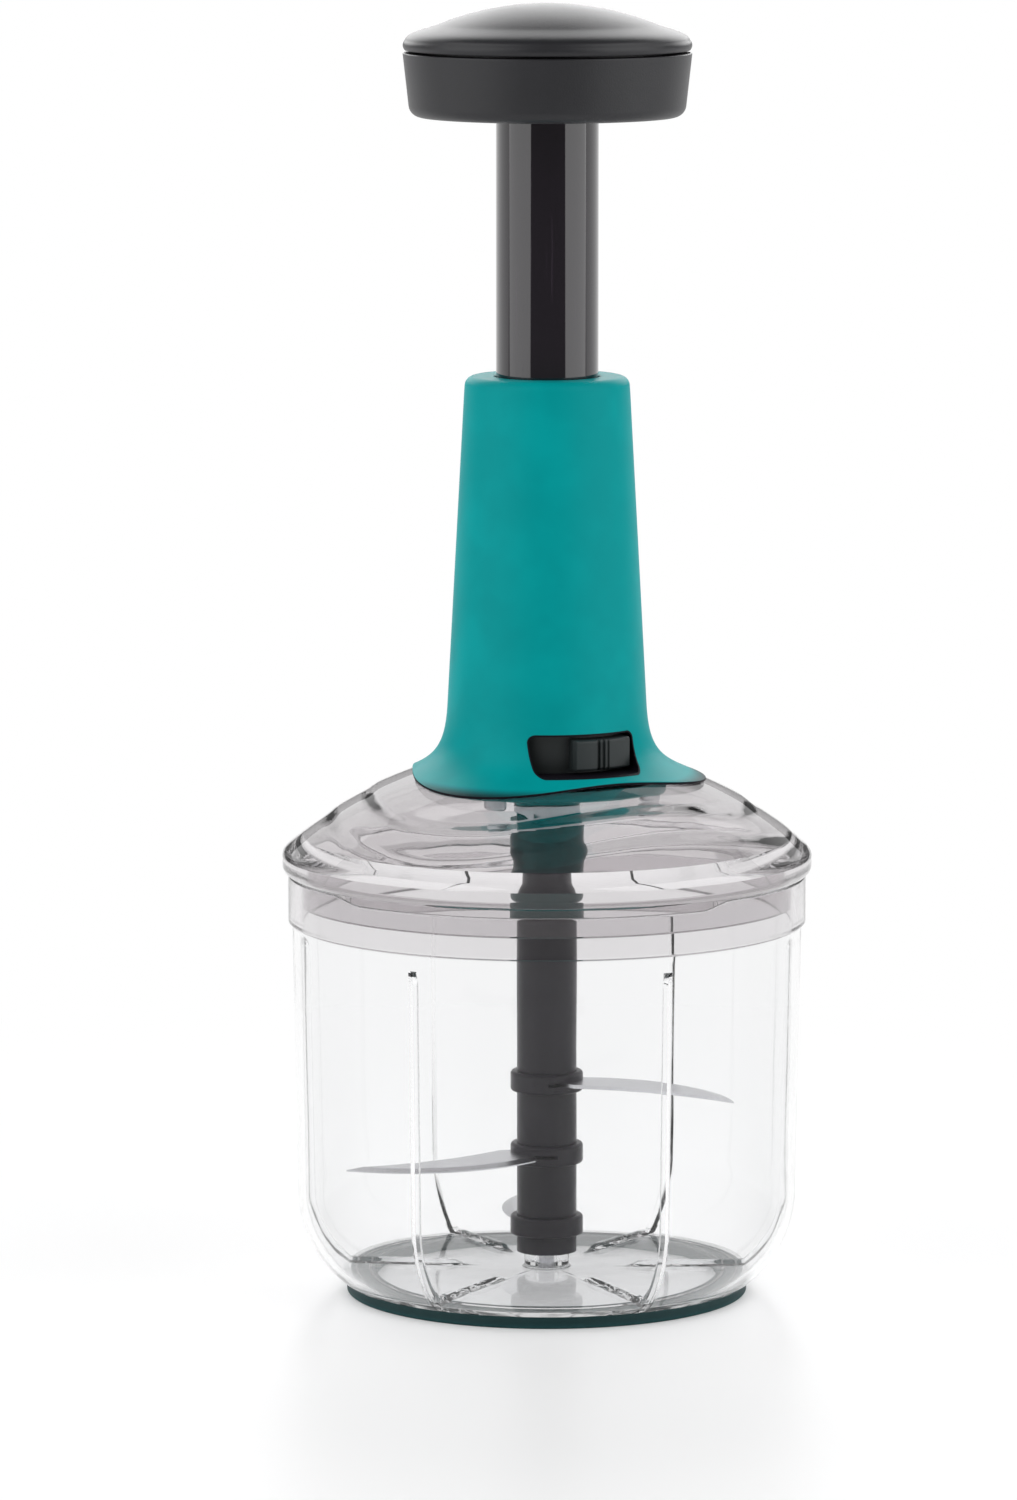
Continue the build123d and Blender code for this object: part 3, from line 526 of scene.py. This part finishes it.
class CHOPPER_OT_bowl(bpy.types.Operator):
    """Clear bowl with its collar, round corner, foot rim, pin boss and six inner ribs"""
    bl_idname = "chopper.bowl"
    bl_label = "Bowl"

    def execute(self, context):
        """Turned profile. A rib moves the inner surface along its normal (dz, -dr) by its depth, where
        the arc length from its middle is under half its width. The rim sinks under the tongues. The
        angles between two ribs follow a cubic curve, close at the ribs and wide between them."""
        s = sizes()
        rim, low = high_z("bowl"), low_z("bowl")
        under, wall, collar = low + 2.2, s.wall / MM, s.collar_r / MM
        wall_r, corner_z, foot_r = s.wall_r / MM, s.corner_z / MM, s.foot_r / MM
        collar_z = rim - 12.0
        lean = 1.2 / (collar_z - corner_z)
        floor, inner_r, inner_foot = under + wall, wall_r - wall, foot_r - 0.4 * wall
        top_r, inner_top = wall_r + 1.2, inner_r + lean * (rim - corner_z)
        rows_end = (inner_r + lean * 67, corner_z + 67)
        outside = joined(
            straight((0, under), (36, under), 4),
            rounded((36, under), (44.2, under, 0.6), (44.2, low, 0.4), (47.6, low, 0.4),
                    (47.6, under, 0.4), (foot_r, under)),
            tangent_arc((wall_r, corner_z), (foot_r, under), (-lean, -1), 22)[::-1],
            straight((wall_r, corner_z), (top_r - 0.05, collar_z - 2), 20),
            rounded((top_r - 0.05, collar_z - 2), (top_r, collar_z, 0.3), (collar, collar_z, 0.7),
                    (collar, rim, 0.5), (collar - 1.4, rim)))
        inside = joined(
            rounded((collar - 1.4, rim), (inner_top, rim, 0.4), rows_end),
            straight(rows_end, (inner_r, corner_z), 51),
            tangent_arc((inner_r, corner_z), (inner_foot, floor), (-lean, -1), 24),
            straight((inner_foot, floor), (16, floor), 16),
            rounded((16, floor), (5.5, floor, 0.8), (5.5, floor + 3.8, 0.5), (2.04, floor + 3.8, 0.3),
                    (2.04, under + 0.96), (0, under + 0.96)))
        profile = joined(outside, inside)
        ribs = np.radians(28 + 60 * np.arange(6))
        share = np.linspace(-1, 1, 52, endpoint=False)
        sector = np.radians(30) * (0.16 * share + 0.84 * share**3)
        az = np.sort((ribs[:, None] + sector).ravel() % (2 * math.pi))
        run = np.gradient(profile, axis=0)
        run /= np.linalg.norm(run, axis=1)[:, None]
        inner = np.arange(len(profile)) >= len(outside)

        def shape(radius, height, angle, row):
            gap = (angle[..., None] - ribs + math.pi) % (2 * math.pi) - math.pi
            arc = np.abs(gap).min(-1) * radius
            half = s.rib_width / MM / 2
            push = 1 - smooth(half - 0.3, half + 0.1, arc)
            push = push * smooth(20, 24, radius) * (1 - smooth(-1.5, 0, height - s.rib_top / MM))
            push = push * inner[row + 1] * s.rib_depth / MM
            sink = 1.06 * s.tongue / MM * tongue_share(radius, angle)
            sink = sink * smooth(rim - 3, rim - 0.6, height)
            return radius + push * run[row + 1, 1], height - push * run[row + 1, 0] - sink

        # The collar's darker tint above collar_z is painted shade.
        put("bowl_shell", *lathe(profile, az, shape), "bowl",
            clear_plastic("clear_bowl", "clear", "collar", collar_z - 1, collar_z + 1, 0.45),
            "clear_plastic", ["bowl"])
        return {"FINISHED"}


class CHOPPER_OT_base_ring(bpy.types.Operator):
    """Soft ring under the bowl, with a groove for the bowl's foot rim"""
    bl_idname = "chopper.base_ring"
    bl_label = "Base ring"

    def execute(self, context):
        """Turned loop with a groove 0.1 mm wider than the foot rim on each side."""
        low, high = low_z("base_ring"), high_z("base_ring")
        outer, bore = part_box("base_ring")[1].x / MM, 42.6
        profile = rounded((bore, high - 1), (bore, low, 0.5), (outer, low, 0.6), (outer, high, 0.4),
                          (47.7, high, 0.2), (47.7, low + 0.98), (44.1, low + 0.98), (44.1, high, 0.2),
                          (bore, high, 0.4), (bore, high - 1))
        put("base_ring_shell", *lathe(profile[:-1], spokes(168)), "bowl", soft_ring(), "teal_rubber",
            ["base_ring"])
        return {"FINISHED"}


class CHOPPER_OT_lid(bpy.types.Operator):
    """Clear lid: dome with two lobed steps, rolled edge, skirt and tongues"""
    bl_idname = "chopper.lid"
    bl_label = "Lid"

    def execute(self, context):
        """Turned loop. Its top rows run in five bands: to the upper ramp, over it, to the lower ramp,
        over it, and to the shoulder. Each ramp is centred on a lobed outline. The height is that of the
        dome plus one step for each outline that a point lies inside."""
        s = sizes()
        rim, edge, step = high_z("bowl"), s.lid_r / MM, s.lid_step / MM
        opening, skirt, shoulder = 21.0, 60.3, edge - 1.0
        plateau, under, shoulder_z = crown_z(), float(dome(CROWN_R)) - 2.6, float(dome(shoulder))
        cavity, deep = skirt - 1.6, s.lid_wall / MM
        ramp = 2.1
        bands = (11, 6, 9, 6, 8)
        top = np.append(np.concatenate([i + np.arange(n) / n for i, n in enumerate(bands)]), len(bands))
        bowl_side = joined(
            rounded((shoulder, shoulder_z), (shoulder + 0.72, shoulder_z - 0.8),
                    (edge, rim + 4.6, 0.5), (edge, rim + 2.4)),
            arc_through((edge, rim + 2.4), (edge - 0.45, rim + 0.9), (edge - 1.7, rim), 9),
            rounded((edge - 1.7, rim), (edge - 1.9, rim - 0.001), (skirt, rim - 0.002),
                    (skirt, rim - 7, 0.4), (cavity, rim - 7, 0.4), (cavity, float(dome(cavity)) - deep)))
        dome_r = np.linspace(cavity, CROWN_R + 0.3, 40)
        inner = np.stack([dome_r, dome(dome_r) - deep], 1)
        centre = rounded((CROWN_R, under), (opening, under, 0.3), (opening, plateau, 0.3),
                         (CROWN_R, plateau))
        profile = np.concatenate([np.full((len(top), 2), CROWN_R), bowl_side[1:], inner[1:], centre])

        def shape(radius, height, angle, row):
            upper, lower = lobed(UPPER_STEP, angle[:, :1]), lobed(LOWER_STEP, angle[:, :1])
            stops = np.concatenate([CROWN_R + 0 * upper, upper - ramp, upper + ramp, lower - ramp,
                                    lower + ramp, shoulder + 0 * upper], 1)
            band = np.minimum(top.astype(int), len(bands) - 1)
            share = top - band
            r = stops[:, band] * (1 - share) + stops[:, band + 1] * share
            z = dome(r) + step * (2 - smooth(upper - ramp, upper + ramp, r)
                                  - smooth(lower - ramp, lower + ramp, r))
            radius, height = radius.copy(), height.copy()
            radius[:, :len(top)], height[:, :len(top)] = r, z
            seat = (height < rim + 0.0005) & (height > rim - 4) & (radius > skirt - 0.1)
            depth = s.tongue / MM * tongue_share(radius, angle) * smooth(rim - 4, rim - 0.5, height)
            return radius, height - seat * depth

        # The lid's darker tint below rim + 3.5 mm, on its rolled edge and skirt, is painted shade.
        put("lid_shell", *lathe(profile, spokes(240), shape), "lid",
            clear_plastic("clear_lid", "lid_edge", "lid_clear", rim + 3.5, rim + 7.5),
            "clear_plastic", ["lid"])
        return {"FINISHED"}


class CHOPPER_OT_housing(bpy.types.Operator):
    """Teal housing: tapered grip, flare to a three-lobed flange on the lid, and lock window"""
    bl_idname = "chopper.housing"
    bl_label = "Housing"
    WINDOW_AZ, WINDOW_CORNER = math.radians(22), 1.6

    def execute(self, context):
        """Turned loop. The flare is a cubic Bezier curve that ends where its radius meets the lobed
        outline, and the underside follows the lid at 0.1 mm. The window is cut by a rounded prism."""
        s = sizes()
        top, grip, waist = high_z("housing"), s.grip_r / MM, s.waist_r / MM
        plateau, crown_end = crown_z(), float(dome(CROWN_R))
        waist_z, lid_step = plateau + 17.4, s.lid_step / MM
        reach = FLANGE[0] + FLANGE[1] + 1
        middle = (CROWN_R + s.lid_r / MM - 1) / 2 + 0.9
        slope = (crown_end - float(dome(middle))) / (middle - CROWN_R)
        edge_z = crown_end + 2 * lid_step - slope * (reach - CROWN_R) + 1.2
        flare = ((waist, waist_z), (waist + 0.7, waist_z - 13), (reach - 11, edge_z + 4.6),
                 (reach, edge_z))
        turns = np.linspace(0, 1, 36)
        side = straight((grip + 0.3, top - 4.6), (waist, waist_z), 40)
        skin = joined(rounded((12.7, top - 7), (12.7, top, 0.6), (grip, top, 2.9),
                              (grip + 0.3, top - 4.6), steps=9), side)
        edge = np.array([[-0.12, -0.05], [-0.03, -0.14], [0.0, -0.28]])
        lower = np.array([[0.0, 0.25], [-0.04, 0.12], [-0.12, 0.04], [-0.25, 0.0]])
        under = np.linspace(1, 0, 12)[1:]
        spigot = 30.4
        inside = rounded((spigot, plateau + 1.4), (spigot, plateau + 0.02, 0.2),
                         (22.3, plateau + 0.02), (22.3, waist_z), (18.4, top - 12), (18.4, top - 7),
                         (12.7, top - 7))
        counts = np.cumsum([len(skin), len(turns) - 1, len(edge), len(lower), len(under),
                            len(inside) - 1])
        flare_rows, edge_rows, lower_rows, under_rows, inside_rows = (
            slice(a, b) for a, b in zip(counts, counts[1:]))
        profile = np.zeros((counts[-1], 2))
        profile[:len(skin)] = skin
        profile[inside_rows] = inside[:-1]
        dense = np.linspace(0, 1, 400)
        dense_r = bezier(*flare, dense)[:, 0]

        def shape(radius, height, angle, row):
            radius, height = radius.copy(), height.copy()
            outline = lobed(FLANGE, angle[:, :1])
            end = np.interp(outline - 0.3, dense_r, dense)
            curve = bezier(*flare, end * turns[1:])
            on_lid = dome(outline) + 2 * lid_step + 0.1
            r = spigot + (outline - 0.25 - spigot) * under
            for rows, new_radius, new_height in (
                    (flare_rows, curve[..., 0], curve[..., 1]),
                    (edge_rows, outline + edge[:, 0], curve[:, -1:, 1] + edge[:, 1]),
                    (lower_rows, outline + lower[:, 0], on_lid + lower[:, 1]),
                    (under_rows, r, dome(np.maximum(r, CROWN_R)) + 2 * lid_step + 0.1)):
                radius[:, rows], height[:, rows] = new_radius, new_height
            return radius, height

        window_z = plateau + 7.75
        # The housing's finish paints shade along its joint with the lid and a shadow round the lock
        # window.
        finish = moulded("teal_housing", colour("teal"), 0.46, 0.000012, 0.06,
                         lambda paint: self.painted_shade(paint, s, window_z))
        housing = put("housing_shell", *lathe(profile, spokes(180), shape), "lid", finish,
                      "teal_plastic", ["housing"])
        self.cut_window(housing, s, window_z)
        return {"FINISHED"}

    def painted_shade(self, paint, s, window_z):
        """Painted shade: a dark line on the flange up to 0.6 mm above the lid, where the flange meets it,
        whose slope under the flange is even, and a painted shadow in a dark frame out to 0.4 mm round the
        window: the distance from a rectangle that is smaller by the corner radius on each side."""
        x, y, z = (paint.axis(letter) for letter in "XYZ")
        slope = float(dome(33.0) - dome(39.0)) / 6.0
        lid_z = (float(dome(36.0)) + slope * 36.0) * MM + 2 * s.lid_step + 0.0001
        # Painted shade along the joint of the flange with the lid.
        joint_shade = 1 - (z + slope * x.maths("SQRT", x * x + y * y)).step(lid_z + 0.0005, lid_z + 0.0007)
        az, corner = self.WINDOW_AZ, self.WINDOW_CORNER * MM
        past = []
        for place, half in ((x * math.cos(az) + y * math.sin(az), s.window_width / 2),
                            (z - window_z * MM, s.window_height / 2)):
            past.append(x.maths("MAXIMUM", x.maths("ABSOLUTE", place) - (half - corner), 0.0))
        gap = x.maths("SQRT", past[0] * past[0] + past[1] * past[1])
        front = 1 - y.step(-0.004, -0.002)
        # Painted shadow in a frame round the lock window.
        window_shadow = (1 - gap.step(corner + 0.0003, corner + 0.0005)) * front
        return x.maths("MAXIMUM", joint_shade, window_shadow)

    def cut_window(self, housing, s, window_z):
        """Take a prism with rounded corners, to the right of the front, out of the wall."""
        half_w, half_h = s.window_width / MM / 2, s.window_height / MM / 2
        az, corner = self.WINDOW_AZ, self.WINDOW_CORNER
        loop = rounded((0, -half_h), (half_w, -half_h, corner), (half_w, half_h, corner),
                       (-half_w, half_h, corner), (-half_w, -half_h, corner), (0, -half_h))[:-1]
        x, z = loop[:, 0], loop[:, 1] + window_z
        ends = []
        for depth in (15.0, 45.0):
            ends.append(np.stack([x * math.cos(az) + depth * math.sin(az),
                                  x * math.sin(az) - depth * math.cos(az), z], -1))
        count = len(loop)
        here = np.arange(count)
        ahead = (here + 1) % count
        sides = np.stack([here, ahead, ahead + count, here + count], 1).tolist()
        mesh = bpy.data.meshes.new("window_cut")
        mesh.from_pydata((np.concatenate(ends) * MM).tolist(), [],
                         sides + [here[::-1].tolist(), (here + count).tolist()])
        cutter = bpy.data.objects.new("window_cut", mesh)
        bpy.context.scene.collection.objects.link(cutter)
        housing.modifiers.clear()
        cut = housing.modifiers.new("Window", "BOOLEAN")
        cut.object, cut.operation, cut.solver = cutter, "DIFFERENCE", "EXACT"
        bpy.context.view_layer.update()
        graph = bpy.context.evaluated_depsgraph_get()
        done = bpy.data.meshes.new_from_object(housing.evaluated_get(graph))
        housing.modifiers.clear()
        bpy.data.objects.remove(cutter)
        if len(done.polygons) < 1000 or len(done.polygons) == len(housing.data.polygons):
            raise RuntimeError("the lock window could not be cut")
        finish = housing.data.materials[0]
        housing.data = done
        dress(housing, "lid", finish, ["housing"], 30.0)


class CHOPPER_OT_lock(bpy.types.Operator):
    """Thumb-piece of the lock in the window: grip, two ridges and a flat end"""
    bl_idname = "chopper.lock"
    bl_label = "Lock thumb-piece"

    def execute(self, context):
        """A rounded section in radius and height is carried round from 14 to 50.5 degrees. Its outer
        side stands out by a height that depends on the angle: smooth steps for grip, ridges and pad."""
        low, high = low_z("lock_button"), high_z("lock_button")
        degrees = np.concatenate([[14.0, 14.08, 14.3], np.linspace(14.8, 50, 150),
                                  [50.35, 50.45, 50.5]])
        out = (1.1 * smooth(14.4, 15.4, degrees) * (1 - smooth(26.6, 27.8, degrees))
               + 0.7 * smooth(28.7, 29.3, degrees) * (1 - smooth(29.7, 30.3, degrees))
               + 0.7 * smooth(31.7, 32.3, degrees) * (1 - smooth(32.7, 33.3, degrees))
               + 0.4 * smooth(34.6, 35.4, degrees))
        out -= 0.5 * (1 - smooth(13.9, 14.4, degrees)) + 0.5 * smooth(50.0, 50.6, degrees)
        inner, outer = 21.8, 25.7
        section = rounded((inner, low), (outer, low, 0.7), (outer, high, 0.7), (inner, high), steps=7)
        moved = section[:, 0] > inner + 0.1
        radius = section[None, :, 0] + moved[None, :] * out[:, None]
        az = np.radians(degrees)[:, None] + 0 * radius
        rings = around(radius, section[None, :, 1] + 0 * radius, az)
        finish = moulded("lock_plastic", colour("thumb"), 0.42, 0.00001, 0.35)
        put("lock_thumb", *swept(rings), "lock", finish, "lock_grey", ["lock_button"])
        return {"FINISHED"}


class CHOPPER_OT_plunger(bpy.types.Operator):
    """Gloss black tube and the two shells of the palm knob"""
    bl_idname = "chopper.plunger"
    bl_label = "Plunger"

    def execute(self, context):
        """Three turned profiles: a tube closed at the top, a dish with a hub, and a low dome whose
        shoulder is a cubic Bezier curve into the arc of its top."""
        low, high = low_z("plunger_tube"), high_z("plunger_tube")
        s = sizes()
        tube = rounded((0, high - 9), (1.47, high - 9), (1.47, high), (12.5, high, 0.3), (12.5, low, 0.2),
                       (10.7, low, 0.2), (10.7, high - 10), (0, high - 10))
        put("tube_shell", *lathe(tube, spokes(128)), "plunger", gloss_black(), "black_gloss",
            ["plunger_tube"])
        skin = moulded("knob_plastic", colour("knob"), 0.42, 0.00003, 0.4)
        low, web = low_z("knob_base"), high_z("knob_base") - 0.9
        high = web + 0.9 + s.seam_rise / MM
        dish = rounded((12.52, low + 1), (12.52, low, 0.3), (33.4, low, 3.0), (35.15, high, 0.35),
                       (30.9, high), (30.9, low + 2.5), (16, low + 2.5), (16, web), (1.65, web),
                       (1.65, web - 2.6), (12.52, web - 2.6), (12.52, low + 1), steps=9)
        put("knob_base_shell", *lathe(dish[:-1], spokes(192)), "plunger", skin, "knob_grey",
            ["knob_base"])
        low, high = high + 0.6, high_z("knob_cap")
        edge = low + 2.4
        crown = tangent_arc((0, high), (26.65, edge + 3.7), (1, 0), 26)
        shoulder = bezier((26.65, edge + 3.7), (30.4, edge + 2.4), (34.3, edge + 1.7), (34.6, edge),
                          np.linspace(0, 1, 18))
        side = arc_through((34.6, edge), (35.1, low + 1.2), (34.65, low), 8)
        under = rounded((34.65, low), (30.8, low), (30.8, low - 3), (29.2, low - 3), (29.2, low),
                        (28.7, low), (28.7, low + 2.5), (18.7, low + 6), (0, low + 9))
        put("knob_cap_shell", *lathe(joined(crown, shoulder, side, under), spokes(192)), "plunger", skin,
            "knob_grey", ["knob_cap"])
        return {"FINISHED"}


class CHOPPER_OT_spring(bpy.types.Operator):
    """Return spring: wire wound round the axis"""
    bl_idname = "chopper.spring"
    bl_label = "Return spring"

    def execute(self, context):
        """Wire wound 14 times round the axis. Its height grows by the closed pitch over each turn, and
        between the first turn and the last one by the rest of the length as well, eased in and out."""
        wire = sizes().wire_r / MM
        low, high = low_z("return_spring") + wire, high_z("return_spring") - wire
        coil_r, turns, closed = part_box("return_spring")[1].x / MM - wire, 14, 3 * wire
        turn = np.linspace(0, turns, turns * 48 + 1)
        start, end = np.minimum(turn, 1.0), np.minimum(turns - turn, 1.0)
        climbed = (start**3 - start**4 / 2) + np.clip(turn - 1, 0, turns - 2) + (
            0.5 - (end**3 - end**4 / 2))
        height = low + closed * turn + (high - low - closed * turns) * climbed / (turns - 1)
        angle = 2 * math.pi * turn
        middle = np.stack([coil_r * np.cos(angle), coil_r * np.sin(angle), height], 1)
        along = np.gradient(middle, axis=0)
        along /= np.linalg.norm(along, axis=1)[:, None]
        out = np.stack([np.cos(angle), np.sin(angle), 0 * angle], 1)
        up = np.cross(along, out)
        round_ = np.arange(12)[None, :, None] * math.pi / 6
        rings = middle[:, None] + wire * (out[:, None] * np.cos(round_) + up[:, None] * np.sin(round_))
        finish = ground_metal("spring_steel", colour("steel", 0.7), 0.3)
        spring = put("spring_coil", *swept(rings), "lid", finish, "steel", ["return_spring"])
        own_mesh(spring)
        return {"FINISHED"}


class CHOPPER_OT_inner_parts(bpy.types.Operator):
    """Finishes of the parts that are shown as they come from the CAD model"""
    bl_idname = "chopper.inner_parts"
    bl_label = "Inner parts"

    def execute(self, context):
        """One finish for each node, with the grain drawn along the piece where it was ground."""
        steel, nylon, dark = colour("steel"), colour("nylon"), colour("dark")
        finishes = {
            "pivot_pin": ground_metal("pin_steel", steel, 0.22),
            "blade_lower": ground_metal("blade_steel_lower", colour("steel", 1.1), 0.20, "Y"),
            "blade_middle": ground_metal("blade_steel_middle", colour("steel", 1.1), 0.20, "X"),
            "blade_upper": ground_metal("blade_steel_upper", colour("steel", 1.1), 0.20, "X"),
            "drive_bar": ground_metal("bar_steel", steel, 0.28),
            "thrust_washer": ground_metal("washer_steel", steel, 0.25),
            "retaining_clip": ground_metal("clip_steel", colour("steel", 0.8), 0.3),
            "cover_screws": ground_metal("cover_screw_steel", steel, 0.3),
            "knob_screw": ground_metal("knob_screw_steel", steel, 0.3),
            "blade_shaft": moulded("shaft_plastic", dark, 0.32, 0.000001, 0.3),
            "plunger_foot": moulded("foot_plastic", dark, 0.35, 0.000003),
            "lock_ring": moulded("lock_ring_plastic", colour("thumb", 0.8), 0.45, 0.000005),
            "drive_socket": moulded("socket_plastic", colour("ring", 0.8), 0.34, 0.00001),
            # Painted shade: the drive cover is the housing's teal darkened to 0.45 for the shade it sits
            # in under the lid.
            "drive_cover": moulded("cover_plastic", colour("teal", 0.45), 0.36, 0.00001),
            "guide_sleeve": moulded("sleeve_nylon", nylon, 0.42, 0.00001),
            "bearing_bush": moulded("bush_nylon", nylon, 0.40, 0.00001),
            "drive_nut": moulded("nut_nylon", nylon, 0.38, 0.00001),
            "spring_seat": moulded("seat_nylon", colour("nylon", 0.95), 0.40, 0.00001),
        }
        for node, finish in finishes.items():
            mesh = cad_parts[node].data
            mesh.materials.clear()
            mesh.materials.append(finish)
        return {"FINISHED"}


class CHOPPER_OT_stage(bpy.types.Operator):
    """White floor, softboxes, soft sky, the camera, and enough bounces for the clear plastic"""
    bl_idname = "chopper.stage"
    bl_label = "Stage"

    def execute(self, context):
        """Two lamps from the sides and one from behind, which leaves out the clear parts. These have a
        lamp of their own in the same place, at a sixth of its power."""
        self.floor()
        side, back = (1.60, 1.60), (2.40, 0.80)
        self.softbox("softbox_left", -66, 0.77, 1.15, side, 14.0)
        self.softbox("softbox_right", 68, 0.77, 1.20, side, 15.0)
        self.softbox("softbox_back", 180, 0.80, 1.30, back, 24.0, "EXCLUDE")
        self.softbox("softbox_back_dim", 180, 0.80, 1.30, back, 4.0, "INCLUDE")
        self.sky()
        scene = context.scene
        data = bpy.data.cameras.new("camera")
        data.sensor_width, data.clip_end = SENSOR, 50.0
        data.lens = FOCAL_PIXELS * SENSOR / IMAGE_HEIGHT
        camera = bpy.data.objects.new("camera", data)
        scene.collection.objects.link(camera)
        camera.location = CAMERA_PLACE
        camera.rotation_euler = (math.radians(90 - CAMERA_DIP), 0, 0)
        scene.camera = camera
        scene.render.resolution_x, scene.render.resolution_y = IMAGE_WIDTH, IMAGE_HEIGHT
        scene.view_settings.view_transform = "Standard"
        scene.cycles.max_bounces = scene.cycles.transmission_bounces = 32
        scene.cycles.glossy_bounces = 16
        return {"FINISHED"}

    def floor(self):
        """Square floor that is lit near the object and turns plain white further out, where it is seen
        straight or through the clear plastic and, behind the object, also in reflections."""
        mesh, far = bpy.data.meshes.new("floor"), 14.0
        mesh.from_pydata([(-far, -far, 0), (far, -far, 0), (far, far, 0), (-far, far, 0)], [],
                         [(0, 1, 2, 3)])
        floor = bpy.data.objects.new("floor", mesh)
        bpy.context.scene.collection.objects.link(floor)
        paint = Paint("studio_floor")
        paint.set(Base_Color=(*colour("floor"), 1.0), Roughness=0.35, Specular_IOR_Level=0.2)
        distance = paint.node("ShaderNodeVectorMath", {"operation": "LENGTH"}, paint.place,
                              output="Value")
        camera, through, mirrored = (
            paint.node("ShaderNodeLightPath", {}, output=kind)
            for kind in ("Is Camera Ray", "Is Transmission Ray", "Is Glossy Ray"))
        behind = mirrored * paint.axis("Y").step(0.1, 0.5)
        seen = camera.maths("MAXIMUM", camera.maths("MAXIMUM", camera, through), behind)
        white = 0.2 + 0.8 * distance.step(0.16, 0.42)
        paint.blend(seen * white, "ShaderNodeEmission", Color=(1, 1, 1, 1), Strength=1.0)
        mesh.materials.append(paint.material)

    def softbox(self, name, az, height, away, spread, power, clear_parts=None):
        """Area lamp at an angle az in degrees from the front, facing the middle of the object, with its
        height, distance, width and depth in metres. It isn't seen through the clear plastic.
        clear_parts says whether it leaves out the bowl and the lid, or lights nothing else."""
        data = bpy.data.lights.new(name, "AREA")
        data.shape, data.energy = "RECTANGLE", power
        data.size, data.size_y = spread
        lamp = bpy.data.objects.new(name, data)
        bpy.context.scene.collection.objects.link(lamp)
        turn, middle_z = math.radians(az), 0.15
        lamp.location = (away * math.sin(turn), -away * math.cos(turn), height)
        drop = math.atan2(lamp.location.z - middle_z, away)
        lamp.rotation_euler = (math.pi / 2 - drop, 0, turn)
        lamp.visible_transmission = False
        if clear_parts:
            group = bpy.data.collections.new(name)
            for piece in ("bowl_shell", "lid_shell"):
                group.objects.link(bpy.data.objects[piece])
            for member in group.collection_objects:
                member.light_linking.link_state = clear_parts
            lamp.light_linking.receiver_collection = group

    def sky(self):
        """Even dim light from all round, brighter where it is seen through the clear plastic."""
        world = bpy.data.worlds.new("studio")
        world.use_nodes = True
        bpy.context.scene.world = world
        nodes, links = world.node_tree.nodes, world.node_tree.links
        background = nodes["Background"]
        background.inputs["Color"].default_value = (1, 1, 1, 1)
        rays, strength = nodes.new("ShaderNodeLightPath"), nodes.new("ShaderNodeMapRange")
        links.new(rays.outputs["Is Transmission Ray"], strength.inputs["Value"])
        strength.inputs["To Min"].default_value = 0.14
        strength.inputs["To Max"].default_value = 0.70
        links.new(strength.outputs[0], background.inputs["Strength"])


class CHOPPER_PT_panel(bpy.types.Panel):
    """Sizes, colours and steps of the chopper"""
    bl_idname = "CHOPPER_PT_panel"
    bl_label = "Chopper"
    bl_space_type = "VIEW_3D"
    bl_region_type = "UI"
    bl_category = "Chopper"

    def draw(self, context):
        """One box for the sizes, one for the colours, and a button for each step."""
        for group in (context.scene.chopper_sizes, context.scene.chopper_colours):
            box = self.layout.box()
            for name in group.__annotations__:
                box.prop(group, name)
        for step in STEPS:
            self.layout.operator(step.bl_idname)


STEPS = (CHOPPER_OT_bowl, CHOPPER_OT_base_ring, CHOPPER_OT_lid, CHOPPER_OT_housing, CHOPPER_OT_lock,
         CHOPPER_OT_plunger, CHOPPER_OT_spring, CHOPPER_OT_inner_parts, CHOPPER_OT_stage)
CLASSES = (ChopperSizes, ChopperColours, *STEPS, CHOPPER_PT_panel)


def register():
    """Add the classes, and the sizes and colours of a scene."""
    for cls in CLASSES:
        bpy.utils.register_class(cls)
    bpy.types.Scene.chopper_sizes = bpy.props.PointerProperty(type=ChopperSizes)
    bpy.types.Scene.chopper_colours = bpy.props.PointerProperty(type=ChopperColours)


def unregister():
    """Take them away again."""
    del bpy.types.Scene.chopper_sizes
    del bpy.types.Scene.chopper_colours
    for cls in reversed(CLASSES):
        bpy.utils.unregister_class(cls)


def main():
    """Make the pieces, the finishes and the stage."""
    register()
    bpy.ops.chopper.bowl()
    bpy.ops.chopper.base_ring()
    bpy.ops.chopper.lid()
    bpy.ops.chopper.housing()
    bpy.ops.chopper.lock()
    bpy.ops.chopper.plunger()
    bpy.ops.chopper.spring()
    bpy.ops.chopper.inner_parts()
    bpy.ops.chopper.stage()


if __name__ == "__main__":
    main()
